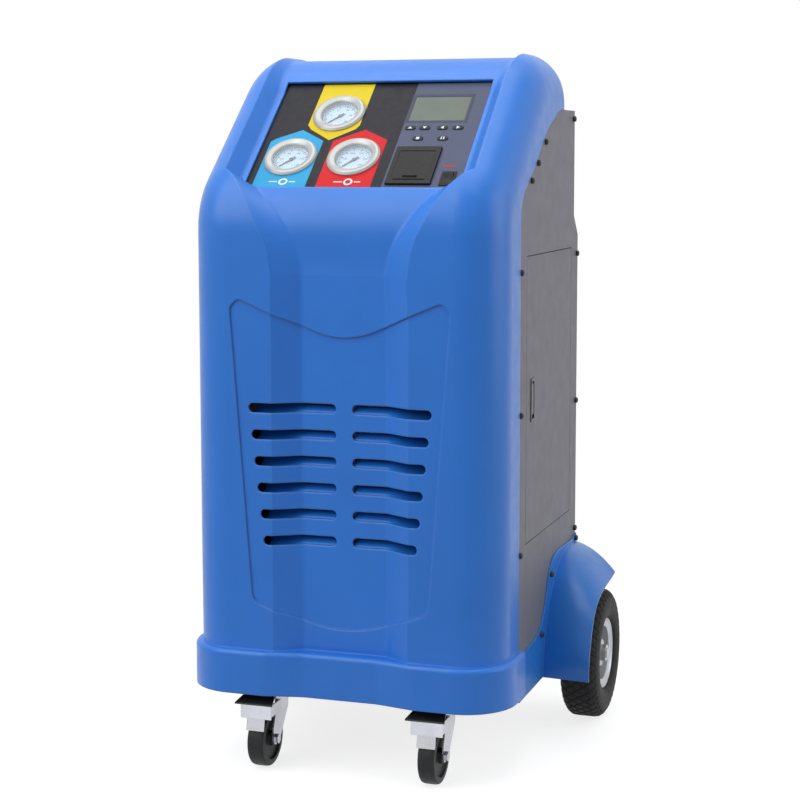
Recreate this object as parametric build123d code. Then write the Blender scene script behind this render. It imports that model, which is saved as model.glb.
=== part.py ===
from build123d import *
import math
import os

os.makedirs("parts", exist_ok=True)

# Millimetres. +X is to the right of the console as its user faces it from the front, +Z is up, the user
# stands on the -Y side, and the origin is on the floor under the middle of the machine.

# Clearances
fit = 0.3                # piece set against its neighbour
running_fit = 0.05       # shaft in its bore, on the radius
seam_gap = 0.4           # side panel to moulded cover
sheet = 2.0              # folded steel sheet

# Rear wheels
tyre_radius = 125.0
tyre_width = 76.0
rim_radius = 68.0
wheel_mid_x = 333.0
axle_y = 206.0
axle_radius = 10.0

# Moulded cover
half_width = 288.0
cover_wall = 5.0
skirt_bottom = 145.0
skirt_top = 224.0
skirt_proud = 13.0
skirt_dip = 15.0
skirt_edge_radius = 9.0
front_y = -(axle_y + tyre_radius) + skirt_proud
apex_z = 1288.0
cover_rear_y = 205.0
slope_deg = 41.0
crest_y = -155.0         # a point that the sloping crest line passes through
crest_z = 1176.0
bend_radius = 150.0      # front face to slope
top_bend_radius = 200.0  # slope to top
rear_bend_radius = 96.0  # top to rear wall
edge_radius = 80.0       # rounding along both outer edges

# Valley that runs up the front and widens round the console
channel_floor_half = 77.5
channel_mouth_half = 125.0
channel_depth = 28.0
console_floor_half = 206.0
console_mouth_half = 232.0
console_floor_depth = 33.0
ridge_depth = 11.0
valley_soft = 14.0

# Shield pocket and its louvre slots
pocket_depth = 3.5
slot_rows = 6
slot_pitch = 47.06
slot_top_z = 657.7
slot_height = 17.0
slot_inner_x = 14.9
slot_outer_top_x = 168.7
slot_outer_bottom_x = 142.4
louvre_deg = 35.0
louvre_thickness = 2.5
louvre_reach = 22.0

# Console window
window_half_width = 199.0
window_half_height = 144.0
window_below_crest = 37.6    # outer face of the console panel, square to the crest line
window_along = -20.8         # middle of the console, along the crest line from its given point
window_ledge = 8.0
panel_thickness = 2.5

# Side panels
panel_face_x = half_width - 1.5
seam_y = -179.0
seam_bend_z = 985.0
panel_flange = 16.0

panel_bottom = 152.0
panel_step_low = 944.0
panel_step_high = 983.0
panel_top = 1184.0
rear_upper_y = 229.0
rear_lower_y = 263.0

# Service door in the right panel
door_front_y = -130.0
door_rear_y = 207.0
door_low = 406.0
door_high = 920.0
door_gap = 1.5
door_flange = 10.0
door_pin_radius = 1.5
latch_y = -88.0
latch_z = 661.0
latch_width = 25.0
latch_height = 78.0
door_axis = (panel_face_x - 2.5, door_rear_y - 2.5)

# Rear sheet: cooling slots, hose ports and mains inlet
vent_rows = 9
vent_pitch = 28.0
vent_top_z = 820.0
vent_x = 100.0
vent_length = 150.0
vent_height = 9.0
port_x = (-60.0, 0.0)
port_z = 400.0
port_body_radius = 9.0
port_thread_radius = 5.56
port_thread_length = 14.0
inlet_x = 110.0
inlet_z = 330.0
inlet_cut = (28.0, 21.0)

# Base pan, posts and shelf
pan_top = 150.5
pan_rim = 30.0
pan_front_y = front_y + channel_depth + cover_wall + fit
pan_half = half_width - cover_wall - fit
post_size = 25.0
post_x = panel_face_x - panel_flange - fit - post_size / 2
front_post_y = seam_y + seam_gap + post_size / 2 + 1
rear_post_y = rear_upper_y - sheet - 1.5 - post_size / 2 - 1
rail_z = 972.5
rear_post_top = 1150.0
divider_x = 40.0
tray_z = 396.0
tray_end_x = 118.0

# Axle, rims and push handle
axle_bracket_x = 262.0
hub_half = 22.0
bearing_radius = 21.0
bearing_width = 12.0
rim_holes = 5
handle_half = 190.0
handle_radius = 12.5
handle_z = 1085.0
handle_reach_y = 300.0

# Front casters
caster_x = 160.0
caster_swivel_y = -240.0
caster_trail = 33.0
caster_radius = 50.0
caster_width = 32.0
caster_pin_radius = 6.0
caster_plate_z = pan_top - sheet - 3.5
caster_crown_z = 131.0
pedal_pivot_y = -297.0
pedal_pivot_z = 121.0

# Wheel arches
fender_sheet = 3.0
fender_out_x = 379.0
arch_radius = 213.0
arch_low_z = 128.0

# Gauges, keys and the rest of the console, measured along and up the console face
gauge_places = {"vacuum": (-75, 59), "low": (-135, -61), "high": (-15, -61)}
gauge_ring_radius = 49.0
gauge_dial_radius = 33.0
gauge_case_radius = 38.0
keypad_edge = 56.0
key_places = [(71, 18), (98, 18), (131, 18), (160, 18), (92, -11), (138, -11)]
key_length = 20.0
key_width = 10.0
lcd_place = (114, 72)
lcd_size = (104, 66)
printer_place = (103, -85)
printer_size = (82, 97)
lid_top = 4.2
lid_hinge_up = 35.15
lid_hinge_out = 2.85
lid_stud_radius = 0.9
rocker_place = (172, -117)
rocker_size = (26, 35)
gauge_depth = 26.0
pointer_rest = 135.0
board_depth = -7.5
rocker_tilt = 7.0

# Storage tank on its weighing platform
tank_x = -120.0
tank_place_y = 85.0
tank_radius = 112.0
tank_height = 420.0
tank_wall = 3.0
tank_dome = 38.0
scale_top = pan_top + 30.0
platform_half = 125.0

# Compressor and vacuum pump
comp_x = 130.0
comp_y = -95.0
comp_radius = 72.0
comp_height = 190.0
pump_x = 135.0
pump_y = 118.0
pump_motor_radius = 58.0
pump_axis_height = 78.0

# Coil and fan
coil_half = 150.0
coil_y = -258.0
coil_depth = 40.0
coil_low = 340.0
coil_high = 690.0
fan_radius = 125.0
fan_z = (coil_low + coil_high) / 2
fan_blades = 5

panel_screw_places = [
    (seam_y + 8, 894), (seam_y + 8, 643), (seam_y + 8, 393), (-103, 1053), (-58, 1084), (-4, 1122),
    (rear_upper_y - 12, 1168), (rear_lower_y - 12, 908), (rear_lower_y - 12, 618), (rear_lower_y - 12, 362),
]
fender_screw_places = [(seam_y + 12, 146), (-24, 214), (50, 312), (rear_lower_y - 14, 342)]

slope = math.radians(slope_deg)
up_slope = Vector(0, math.cos(slope), math.sin(slope))
out_slope = Vector(0, -math.sin(slope), math.cos(slope))
crest_point = Vector(0, crest_y, crest_z)
out_axis = Axis(origin=(0, 0, 0), direction=out_slope)


def block(x0, x1, y0, y1, z0, z1):
    """Rectangular solid between two corners."""
    centre = ((x0 + x1) / 2, (y0 + y1) / 2, (z0 + z1) / 2)
    return Pos(*centre) * Box(x1 - x0, y1 - y0, z1 - z0)


def side_prism(outline, x0, x1):
    """Solid with the (Y, Z) outline, from x0 to x1."""
    face = Plane.YZ.offset(x0) * make_face(outline)
    return extrude(face, amount=x1 - x0)


def save(name, *pieces):
    """Writes one node, of one or several separate solids."""
    solids = [solid for piece in pieces for solid in piece.solids()]
    shape = solids[0] if len(solids) == 1 else Compound(children=solids)
    export_step(shape, "parts/" + name + ".step")


def crest_height(y, inset):
    """Height of the sloping crest line at y, moved inwards by inset."""
    y_on_line = crest_y + inset * math.sin(slope)
    z_on_line = crest_z - inset * math.cos(slope)
    return z_on_line + (y - y_on_line) * math.tan(slope)


def hull_solid(inset):
    """Housing without its valley: the side profile with both outer edges rounded."""
    front = front_y + inset
    rear = cover_rear_y - inset
    top = apex_z - inset
    low = skirt_bottom - 2 * inset
    y_at_top = crest_y + (top - crest_height(crest_y, inset)) / math.tan(slope)
    corners = [(front, low), (front, crest_height(front, inset)), (y_at_top, top), (rear, top), (rear, low)]
    radii = [0, bend_radius - inset, top_bend_radius - inset, rear_bend_radius - inset, 0]
    outline = FilletPolyline(*corners, radius=radii, close=True)
    width = half_width - inset
    solid = side_prism(outline, -width, width)
    rims = [
        edge
        for edge in solid.edges()
        if abs(abs(edge.center().X) - width) < 0.001 and edge.bounding_box().max.Z > low + 1
    ]
    return fillet(rims, edge_radius - inset)


def station(point, outward, floor_half, mouth_half, depth, inset):
    """One cross-section of the valley, as a closed soft-cornered wire in the plane of X and outward."""
    wall = math.atan2(depth, mouth_half - floor_half)
    floor_depth = depth + inset
    half = floor_half + inset * math.tan(wall / 2)
    above = 40.0
    flare = half + (floor_depth + above) / math.tan(wall)
    low = point - outward * floor_depth
    high = point + outward * above
    corners = [low + Vector(-half, 0, 0), low + Vector(half, 0, 0), high + Vector(flare, 0, 0),
               high + Vector(-flare, 0, 0)]
    return FilletPolyline(*corners, radius=valley_soft, close=True)


def bend_station(angle, floor_half, mouth_half, depth, inset):
    """Cross-section of the valley on the bend between front face and slope, at an angle from upright."""
    middle_angle = math.radians(90) - slope
    centre_z = crest_height(front_y, 0) - bend_radius * math.tan(middle_angle / 2)
    outward = Vector(0, -math.cos(angle), math.sin(angle))
    point = Vector(0, front_y + bend_radius, centre_z) + outward * bend_radius
    return station(point, outward, floor_half, mouth_half, depth, inset)


def valley_solid(inset):
    """The hollow that runs up the front, widens round the console and leaves over the top."""
    forward = Vector(0, -1, 0)
    upward = Vector(0, 0, 1)
    turn = math.radians(90) - slope
    bend_start_z = crest_height(front_y, 0) - bend_radius * math.tan(turn / 2)
    floor_spread = console_floor_half - channel_floor_half
    mouth_spread = console_mouth_half - channel_mouth_half
    depth_spread = console_floor_depth - channel_depth

    def blend(share):
        return (channel_floor_half + floor_spread * share, channel_mouth_half + mouth_spread * share,
                channel_depth + depth_spread * share)

    low = station(Vector(0, front_y, skirt_bottom - 20), forward, *blend(0), inset)
    channel_end = station(Vector(0, front_y, bend_start_z - 75), forward, *blend(0), inset)
    flare_start = station(Vector(0, front_y, bend_start_z - 35), forward, *blend(0.06), inset)
    flare_middle = bend_station(turn * 0.5, *blend(0.5), inset)
    flare_end = bend_station(turn * 0.95, *blend(0.94), inset)
    console_low = station(crest_point - up_slope * 150, out_slope, *blend(1), inset)
    console_high = station(crest_point + up_slope * 95, out_slope, *blend(1), inset)
    y_at_top = crest_y + (apex_z - crest_z) / math.tan(slope)
    ridge_y = y_at_top + top_bend_radius * math.tan(slope / 2)
    tilt = slope / 2
    bend_centre = Vector(0, ridge_y, apex_z - top_bend_radius)
    middle_out = Vector(0, -math.sin(tilt), math.cos(tilt))
    top_middle = station(bend_centre + middle_out * top_bend_radius, middle_out, console_floor_half + 8,
                         console_mouth_half + 4, (console_floor_depth + ridge_depth) / 2, inset)
    top_start = station(Vector(0, ridge_y, apex_z), upward, console_floor_half + 16, console_mouth_half + 8,
                        ridge_depth, inset)
    top_end = station(Vector(0, cover_rear_y + 40, apex_z), upward, console_floor_half + 16,
                      console_mouth_half + 8, ridge_depth, inset)
    front = Solid.make_loft([low, channel_end], ruled=True)
    flare = Solid.make_loft([channel_end, flare_start, flare_middle, flare_end, console_low])
    console = Solid.make_loft([console_low, console_high], ruled=True)
    crown = Solid.make_loft([console_high, top_middle, top_start])
    rear = Solid.make_loft([top_start, top_end], ruled=True)
    return front + flare + console + crown + rear


def skirt_solid(inset):
    """Band round the foot of the housing, with its own shallower dip in the middle."""
    front = front_y - skirt_proud + inset
    side = half_width + skirt_proud - inset
    rear = seam_y + 30
    mouth = channel_mouth_half + 15
    floor = channel_floor_half - 8
    dip = front + skirt_dip
    corners = [(-side, rear), (-side, front), (-mouth, front), (-floor, dip), (floor, dip), (mouth, front),
               (side, front), (side, rear)]
    corner = edge_radius + skirt_proud - inset
    radii = [0, corner, 60, 60, 60, 60, corner, 0]
    outline = make_face(FilletPolyline(*corners, radius=radii, close=True))
    low = skirt_bottom - 2 * inset
    band = extrude(Plane.XY.offset(low) * outline, amount=skirt_top - inset - low)
    rim = [edge for edge in band.faces().sort_by(Axis.Z)[-1].edges() if edge.center().Y < rear - 1]
    return fillet(rim, skirt_edge_radius - inset / 2)


def plain_cover(inset):
    """Outer skin of the moulded cover as a solid, moved inwards by inset, without the shield pocket."""
    return hull_solid(inset) - valley_solid(inset) + skirt_solid(inset)


def shield_outline():
    """Front view of the shield pocket (X, Z)."""
    corners = [(0, 770), (188, 850), (202, 833), (163, 312), (0, 249), (-163, 312), (-202, 833), (-188, 850)]
    radii = [150, 14, 10, 24, 220, 24, 10, 14]
    face = make_face(FilletPolyline(*corners, radius=radii, close=True))
    return extrude(Plane.XZ.offset(-front_y - skirt_proud - 40) * face, amount=100)


def sunk_cover(inset):
    """Outer skin with the shield pocket pressed into it."""
    shield = shield_outline()
    plain = plain_cover(inset)
    return plain - shield + (plain_cover(inset + pocket_depth) & shield)


def slot_places():
    """Middle, length and height of every louvre slot, seen from the front."""
    for row in range(slot_rows):
        share = row / (slot_rows - 1)
        outer = slot_outer_top_x + (slot_outer_bottom_x - slot_outer_top_x) * share
        z = slot_top_z - row * slot_pitch
        for side in (-1, 1):
            yield side * (slot_inner_x + outer) / 2, outer - slot_inner_x, z


def slot_cutters():
    """Round-ended slots through the front wall."""
    plane = Plane.XZ.offset(-front_y + 10)
    cutters = []
    for x, length, z in slot_places():
        cutters.append(extrude(plane * Pos(x, z) * SlotOverall(length, slot_height), amount=-70))
    return cutters


def louvre_blades():
    """Blades that lean inwards and upwards behind the lower edge of each slot."""
    rise = math.tan(math.radians(louvre_deg))
    blades = []
    for x, length, z in slot_places():
        y0 = front_y
        y1 = front_y + channel_depth + louvre_reach
        foot = z - slot_height / 2 - (channel_depth + pocket_depth) * rise
        head = foot + (y1 - y0) * rise
        drop = louvre_thickness
        outline = Polyline((y0, foot), (y1, head), (y1, head - drop), (y0, foot - drop), close=True)
        blades.append(side_prism(outline, x - length / 2 + 2, x + length / 2 - 2))
    return blades


def seam_outline(shift):
    """Closed (Y, Z) outline of everything behind the cover's rear edge, moved back by shift."""
    far = 400
    line = Line((seam_y + shift, 60), (seam_y + shift, seam_bend_z))
    curve = Spline((seam_y + shift, seam_bend_z), (-137 + shift, 1045 - shift), (-66 + shift, 1090 - shift),
                   (9 + shift, 1145 - shift), (74, 1172 - shift), (150, 1184 - shift),
                   tangents=((0, 1), (1, 0)))
    back = Polyline((150, 1184 - shift), (far, 1184 - shift), (far, 60), (seam_y + shift, 60))
    return Wire([line.edge(), curve.edge(), *back.edges()])


console_plane = Plane(
    origin=crest_point + up_slope * window_along - out_slope * window_below_crest,
    x_dir=(1, 0, 0),
    z_dir=out_slope,
)


def front_cover():
    """Moulded shell with console window, louvres and shield pocket."""
    skin = sunk_cover(0) - sunk_cover(cover_wall)
    skin -= side_prism(seam_outline(0), -400, 400)
    skin -= slot_cutters()
    liner = sunk_cover(pocket_depth)
    skin += [blade & liner for blade in louvre_blades()]
    seat = console_plane * Pos(0, 0, -panel_thickness + 20) * Box(
        2 * window_half_width, 2 * window_half_height, 40)
    hole = console_plane * Box(
        2 * (window_half_width - window_ledge), 2 * (window_half_height - window_ledge), 60)
    return skin - seat - hole


save("front_cover", front_cover())


def rod(radius, start, end):
    """Round bar between two points."""
    start = Vector(*start)
    end = Vector(*end)
    plane = Plane(origin=start, z_dir=end - start)
    return extrude(plane * Circle(radius), amount=(end - start).length)


def turned(profile, origin, axis_dir):
    """Solid of revolution: (radius, height) outline turned about the line through origin."""
    face = Plane.XZ * make_face(Polyline(*profile, close=True))
    solid = revolve(face, axis=Axis.Z)
    return Plane(origin=origin, z_dir=axis_dir).location * solid


def panel_outline(inset):
    """Closed (Y, Z) outline of a side panel, with its edges moved inwards by inset."""
    g = seam_gap + inset
    rear = rear_upper_y - 1.5 - inset
    low_rear = rear_lower_y - 1.5 - inset
    line = Line((seam_y + g, panel_bottom), (seam_y + g, seam_bend_z))
    curve = Spline((seam_y + g, seam_bend_z), (-137 + g, 1045 - g), (-66 + g, 1090 - g), (9 + g, 1145 - g),
                   (74, 1172 - g), (150, panel_top - g), tangents=((0, 1), (1, 0)))
    back = Polyline((150, panel_top - g), (rear, panel_top - g), (rear, panel_step_high - 1),
                    (low_rear, panel_step_low - 1), (low_rear, panel_bottom), (seam_y + g, panel_bottom))
    return Wire([line.edge(), curve.edge(), *back.edges()])


def door_opening(grow):
    """Solid block as large as the door opening, grown by grow."""
    return block(0, 400, door_front_y - door_gap - grow, door_rear_y + door_gap + grow,
                 door_low - door_gap - grow, door_high + door_gap + grow)


def panel_sheets():
    """Face sheet and inward edge strip of a side panel, on the +X side."""
    plate = side_prism(panel_outline(0), panel_face_x - sheet, panel_face_x)
    strip = side_prism(panel_outline(0), panel_face_x - panel_flange, panel_face_x - sheet)
    strip -= side_prism(panel_outline(sheet), panel_face_x - panel_flange - 1, panel_face_x)
    strip -= block(0, 400, -400, 400, 0, pan_top + pan_rim + 4)
    return [plate, strip]


def side_panel_right():
    """Folded side panel with its edges turned inwards, and the jamb and stop of the door opening."""
    plate, strip = panel_sheets()
    lip_x = panel_face_x - door_flange - fit - sheet
    jamb = door_opening(sheet) & block(lip_x, panel_face_x - sheet, -400, 400, 0, 2000)
    stop = block(lip_x, lip_x + sheet, door_front_y - door_gap - 1, door_rear_y - 14, 0, 2000)
    stop &= door_opening(0)
    stop -= block(0, 400, door_front_y + 8, 400, door_low + 8, door_high - 8)
    panel = plate + strip + jamb - door_opening(0) + stop
    pin_hole = rod(door_pin_radius + running_fit, (*door_axis, door_low - 9), (*door_axis, door_high + 9))
    return panel - (pin_hole & (door_opening(sheet) - door_opening(0)))


def side_panel_left():
    """Closed side panel: a flat sheet with an edge strip welded behind it."""
    return [mirror(part, about=Plane.YZ) for part in panel_sheets()]


def service_door():
    """Shallow folded door with two hinge studs and the cut-out of its latch."""
    outer = block(panel_face_x - door_flange, panel_face_x, door_front_y, door_rear_y, door_low, door_high)
    hollow = block(panel_face_x - 50, panel_face_x - sheet, door_front_y + sheet, door_rear_y - sheet,
                   door_low + sheet, door_high - sheet)
    door = outer - hollow
    cut = block(0, 400, latch_y - latch_width / 2 + 3, latch_y + latch_width / 2 - 3,
                latch_z - latch_height / 2 + 3, latch_z + latch_height / 2 - 3)
    reach = door_gap + sheet - 0.2
    studs = [
        rod(door_pin_radius, (*door_axis, door_high), (*door_axis, door_high + reach)),
        rod(door_pin_radius, (*door_axis, door_low - reach), (*door_axis, door_low)),
    ]
    return door - cut + studs


def latch_body():
    """Flush latch: rim on the door's face, cup behind it and the keeper nose at its front edge."""
    half_w = latch_width / 2
    half_h = latch_height / 2
    rim = block(panel_face_x + 0.1, panel_face_x + 1.9, latch_y - half_w, latch_y + half_w, latch_z - half_h,
                latch_z + half_h)
    cup = block(panel_face_x - 14, panel_face_x + 1.9, latch_y - half_w + 3.2, latch_y + half_w - 3.2,
                latch_z - half_h + 3.2, latch_z + half_h - 3.2)
    well = block(panel_face_x - 12, panel_face_x + 10, latch_y - half_w + 5, latch_y + half_w - 5,
                 latch_z - half_h + 5, latch_z + half_h - 5)
    pin = rod(1.5, (panel_face_x - 4, latch_y - half_w + 4, latch_z + half_h - 9),
              (panel_face_x - 4, latch_y + half_w - 4, latch_z + half_h - 9))
    body = fillet((rim + cup).edges().filter_by(Axis.X), 2)
    return body - well + pin


def latch_lever():
    """Paddle in the latch cup, hung on the pin near its top, with room above it to swing out."""
    half_w = latch_width / 2 - 5.4
    pin_x = panel_face_x - 4
    pin_z = latch_z + latch_height / 2 - 9
    face_x = panel_face_x + 1.2
    profile = Polyline((face_x, pin_z - 0.5), (face_x, latch_z - 26), (face_x - 3, latch_z - 26),
                       (face_x - 3, pin_z - 8), (pin_x - 2, pin_z - 2), (pin_x, pin_z + 2.6), close=True)
    paddle = extrude(Plane.XZ.offset(-latch_y - half_w) * make_face(profile), amount=2 * half_w)
    paddle += rod(3.2, (pin_x, latch_y - half_w, pin_z), (pin_x, latch_y + half_w, pin_z))
    hole = rod(1.5 + running_fit, (pin_x, latch_y - 20, pin_z), (pin_x, latch_y + 20, pin_z))
    return paddle - hole


def rear_panel():
    """Rear sheet with its step, top fold and rows of cooling slots."""
    t = 1.5
    line = [(cover_rear_y + fit, panel_top - fit), (rear_upper_y, panel_top - fit),
            (rear_upper_y, panel_step_high), (rear_lower_y, panel_step_low), (rear_lower_y, panel_bottom)]
    inner = [(rear_lower_y - t, panel_bottom), (rear_lower_y - t, panel_step_low - 0.6),
             (rear_upper_y - t, panel_step_high - 0.6), (rear_upper_y - t, panel_top - fit - t),
             (cover_rear_y + fit, panel_top - fit - t)]
    width = panel_face_x - fit
    panel = side_prism(Polyline(*line, *inner, close=True), -width, width)
    fold_end = panel_face_x - panel_flange - fit
    for side in (-1, 1):
        ends = sorted((side * fold_end, side * 400))
        panel -= block(*ends, 0, rear_upper_y - t, panel_top - 20, panel_top + 20)
    cuts = []
    for row in range(vent_rows):
        z = vent_top_z - row * vent_pitch
        for side in (-1, 1):
            place = Plane.XZ.offset(-rear_lower_y - 10) * Pos(side * vent_x, z)
            cuts.append(extrude(place * SlotOverall(vent_length, vent_height), amount=30))
    panel -= cuts
    for x in port_x:
        panel -= rod(port_body_radius + fit, (x, rear_lower_y - 20, port_z), (x, rear_lower_y + 5, port_z))
    w, h = inlet_cut
    inlet_hole = block(inlet_x - w / 2, inlet_x + w / 2, rear_lower_y - 20, rear_lower_y + 5,
                       inlet_z - h / 2, inlet_z + h / 2)
    return panel - inlet_hole


save("side_panel_right", side_panel_right())
save("side_panel_left", *side_panel_left())
save("service_door", service_door())
save("latch_body", latch_body())
save("latch_lever", latch_lever())
save("rear_panel", rear_panel())


def base_pan():
    """Folded floor of the machine, with the two plates that carry the rear axle."""
    rear = rear_lower_y - 1.5 - fit
    corner = edge_radius - cover_wall
    corners = [(-pan_half, rear), (-pan_half, pan_front_y), (pan_half, pan_front_y), (pan_half, rear)]

    def outline(inset):
        moved = [(x - math.copysign(inset, x), y + (inset if y < 0 else -inset)) for x, y in corners]
        return make_face(FilletPolyline(*moved, radius=[0, corner - inset, corner - inset, 0], close=True))

    floor_z = pan_top - sheet
    pan = extrude(Plane.XY.offset(floor_z) * outline(0), amount=sheet + pan_rim)
    pan -= extrude(Plane.XY.offset(pan_top) * outline(sheet), amount=pan_rim + 1)
    for side in (-1, 1):
        x = side * axle_bracket_x
        cheek = Polyline((axle_y - 45, floor_z), (axle_y + 45, floor_z), (axle_y + 16, tyre_radius - 8),
                         (axle_y + 8, tyre_radius - 17), (axle_y - 8, tyre_radius - 17),
                         (axle_y - 16, tyre_radius - 8), close=True)
        pan += side_prism(cheek, x - 3, x + 3)
    bore = rod(axle_radius + running_fit, (-400, axle_y, tyre_radius), (400, axle_y, tyre_radius))
    return pan - bore


def rear_axle():
    """Straight axle with a collar beside each bracket and each wheel hub."""
    end = wheel_mid_x + hub_half + 2 * fit + 12
    axle = rod(axle_radius, (-end, axle_y, tyre_radius), (end, axle_y, tyre_radius))
    collars = []
    for side in (-1, 1):
        for low, high in ((axle_bracket_x + 3 + fit, wheel_mid_x - hub_half - fit),
                          (wheel_mid_x + hub_half + fit, wheel_mid_x + hub_half + fit + 10)):
            start = (side * low, axle_y, tyre_radius)
            collars.append(rod(axle_radius + 6, start, (side * high, axle_y, tyre_radius)))
    return axle + collars


def rim(side):
    """Pressed steel rim with dished disc, hub tube and hand holes, and a ball bearing at each hub end."""
    w = tyre_width / 2
    half = [(rim_radius - 14, 0), (rim_radius - 12, w - 16), (rim_radius - 3, w - 14), (rim_radius, w - 9),
            (rim_radius - 2, w - 8), (rim_radius - 6, w - 11), (rim_radius - 16, w - 13),
            (rim_radius - 17, 0)]
    barrel = half[:-1] + [(rim_radius - 17, 0)] + [(r, -h) for r, h in reversed(half[:-1])]
    disc = [(bearing_radius + 4, 4), (rim_radius - 16, -2), (rim_radius - 16, 1), (bearing_radius + 4, 8)]
    tube = [(bearing_radius, -hub_half), (bearing_radius + 5, -hub_half), (bearing_radius + 5, hub_half),
            (bearing_radius, hub_half), (bearing_radius, hub_half - bearing_width),
            (axle_radius + 3, hub_half - bearing_width), (axle_radius + 3, bearing_width - hub_half),
            (bearing_radius, bearing_width - hub_half)]
    origin = (side * wheel_mid_x, axle_y, tyre_radius)
    outward = (side, 0, 0)
    wheel = turned(barrel, origin, outward) + turned(disc, origin, outward) + turned(tube, origin, outward)
    hand_hole = Plane(origin=origin, z_dir=outward)
    for index in range(rim_holes):
        angle = 360 / rim_holes * index + 20
        wheel -= extrude(hand_hole * Rot(0, 0, angle) * Pos(38, 0) * Circle(7), amount=30, both=True)
    bore_radius = axle_radius + running_fit
    inner_end = hub_half - bearing_width + 0.2
    outer_end = hub_half - 0.2
    race = [(bore_radius, inner_end), (bearing_radius - 0.02, inner_end), (bearing_radius - 0.02, outer_end),
            (bore_radius, outer_end)]
    bearings = [turned(race, origin, outward), turned([(r, -h) for r, h in race], origin, outward)]
    return wheel, bearings


def tyre(side):
    """Pneumatic tyre with round shoulders and grooves round its tread."""
    w = tyre_width / 2
    outline = make_face(FilletPolyline(
        (rim_radius + 0.5, -w + 10), (rim_radius + 6, -w + 4), (tyre_radius - 26, -w),
        (tyre_radius - 5, -w + 8), (tyre_radius, -w + 18), (tyre_radius, w - 18), (tyre_radius - 5, w - 8),
        (tyre_radius - 26, w), (rim_radius + 6, w - 4),
        (rim_radius + 0.5, w - 10), (rim_radius - 2.6, w - 14.5), (rim_radius - 11.6, w - 17),
        (rim_radius - 13.4, 0), (rim_radius - 11.6, -w + 17), (rim_radius - 2.6, -w + 14.5),
        radius=[0, 6, 12, 8, 12, 12, 8, 12, 6, 0, 0, 0, 0, 0, 0], close=True))
    solid = revolve(Plane.XZ * outline, axis=Axis.Z)
    for z in (-18, 0, 18):
        groove = Plane.XZ * Pos(tyre_radius, z) * Rectangle(9 if z == 0 else 12, 4)
        solid -= revolve(groove, axis=Axis.Z)
    origin = (side * wheel_mid_x, axle_y, tyre_radius)
    return Plane(origin=origin, z_dir=(side, 0, 0)).location * solid


save("base_pan", base_pan())
save("rear_axle", rear_axle())
for side, word in ((-1, "left"), (1, "right")):
    rim_solid, rim_bearings = rim(side)
    save("rim_" + word, rim_solid, *rim_bearings)
    save("tyre_" + word, tyre(side))


def square_tube(size, wall, length):
    """Hollow square tube along +Z from the origin."""
    outer = Box(size, size, length, align=(Align.CENTER, Align.CENTER, Align.MIN))
    inner = Box(size - 2 * wall, size - 2 * wall, length + 2, align=(Align.CENTER, Align.CENTER, Align.MIN))
    return outer - Pos(0, 0, -1) * inner


def upright_frame():
    """Welded frame: four posts, side rails and cross rails."""
    size = post_size
    rail_low = rail_z - size / 2
    pieces = []
    for side in (-1, 1):
        x = side * post_x
        pieces.append(Pos(x, front_post_y, pan_top) * square_tube(size, 1.5, rail_low - pan_top))
        pieces.append(Pos(x, rear_post_y, pan_top) * square_tube(size, 1.5, rear_post_top - pan_top))
        pieces.append(block(x - size / 2, x + size / 2, front_post_y - size / 2, rear_post_y - size / 2,
                            rail_low, rail_low + size))
    inner_x = post_x - size / 2
    for y, z in ((front_post_y, rail_low), (rear_post_y, rail_low), (rear_post_y, rear_post_top - size)):
        pieces.append(block(-inner_x, inner_x, y - size / 2, y + size / 2, z, z + size))
    frame = pieces[0]
    for piece in pieces[1:]:
        frame += piece
    return frame


def equipment_shelf():
    """Shelf on the rails with a turned-up edge, and the divider that hangs below it and ends in a tray."""
    low = rail_z + post_size / 2
    x1 = post_x + post_size / 2
    y0 = front_post_y - post_size / 2
    y1 = rear_post_y - post_size / 2 - fit
    shelf = block(-x1, x1, y0, y1, low, low + sheet)
    shelf += block(-x1, x1, y1 - sheet, y1, low, low + 20)
    divider = block(divider_x, divider_x + sheet, y0 + 40, y1 - 8, tray_z, low)
    tray = block(divider_x, tray_end_x, y0 + 40, y1 - 8, tray_z, tray_z + sheet)
    tray += block(tray_end_x - sheet, tray_end_x, y0 + 40, y1 - 8, tray_z, tray_z + 22)
    return shelf + divider + tray


def push_handle():
    """Bent tube handle with two flanged feet on the upper rear sheet."""
    foot_y = rear_upper_y + fit
    bar_y = handle_reach_y
    path = FilletPolyline((-handle_half, foot_y, handle_z), (-handle_half, bar_y, handle_z),
                          (handle_half, bar_y, handle_z), (handle_half, foot_y, handle_z), radius=34)
    section = Plane(origin=(-handle_half, foot_y, handle_z), z_dir=(0, 1, 0)) * Circle(handle_radius)
    bar = sweep(section, path=path)
    for side in (-1, 1):
        bar += rod(26, (side * handle_half, foot_y, handle_z), (side * handle_half, foot_y + 4, handle_z))
    return bar


def arch_curve(points, x):
    """Smooth edge of the wheel arch in the plane at x."""
    return Spline(*[(x, y, z) for y, z in points])


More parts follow.
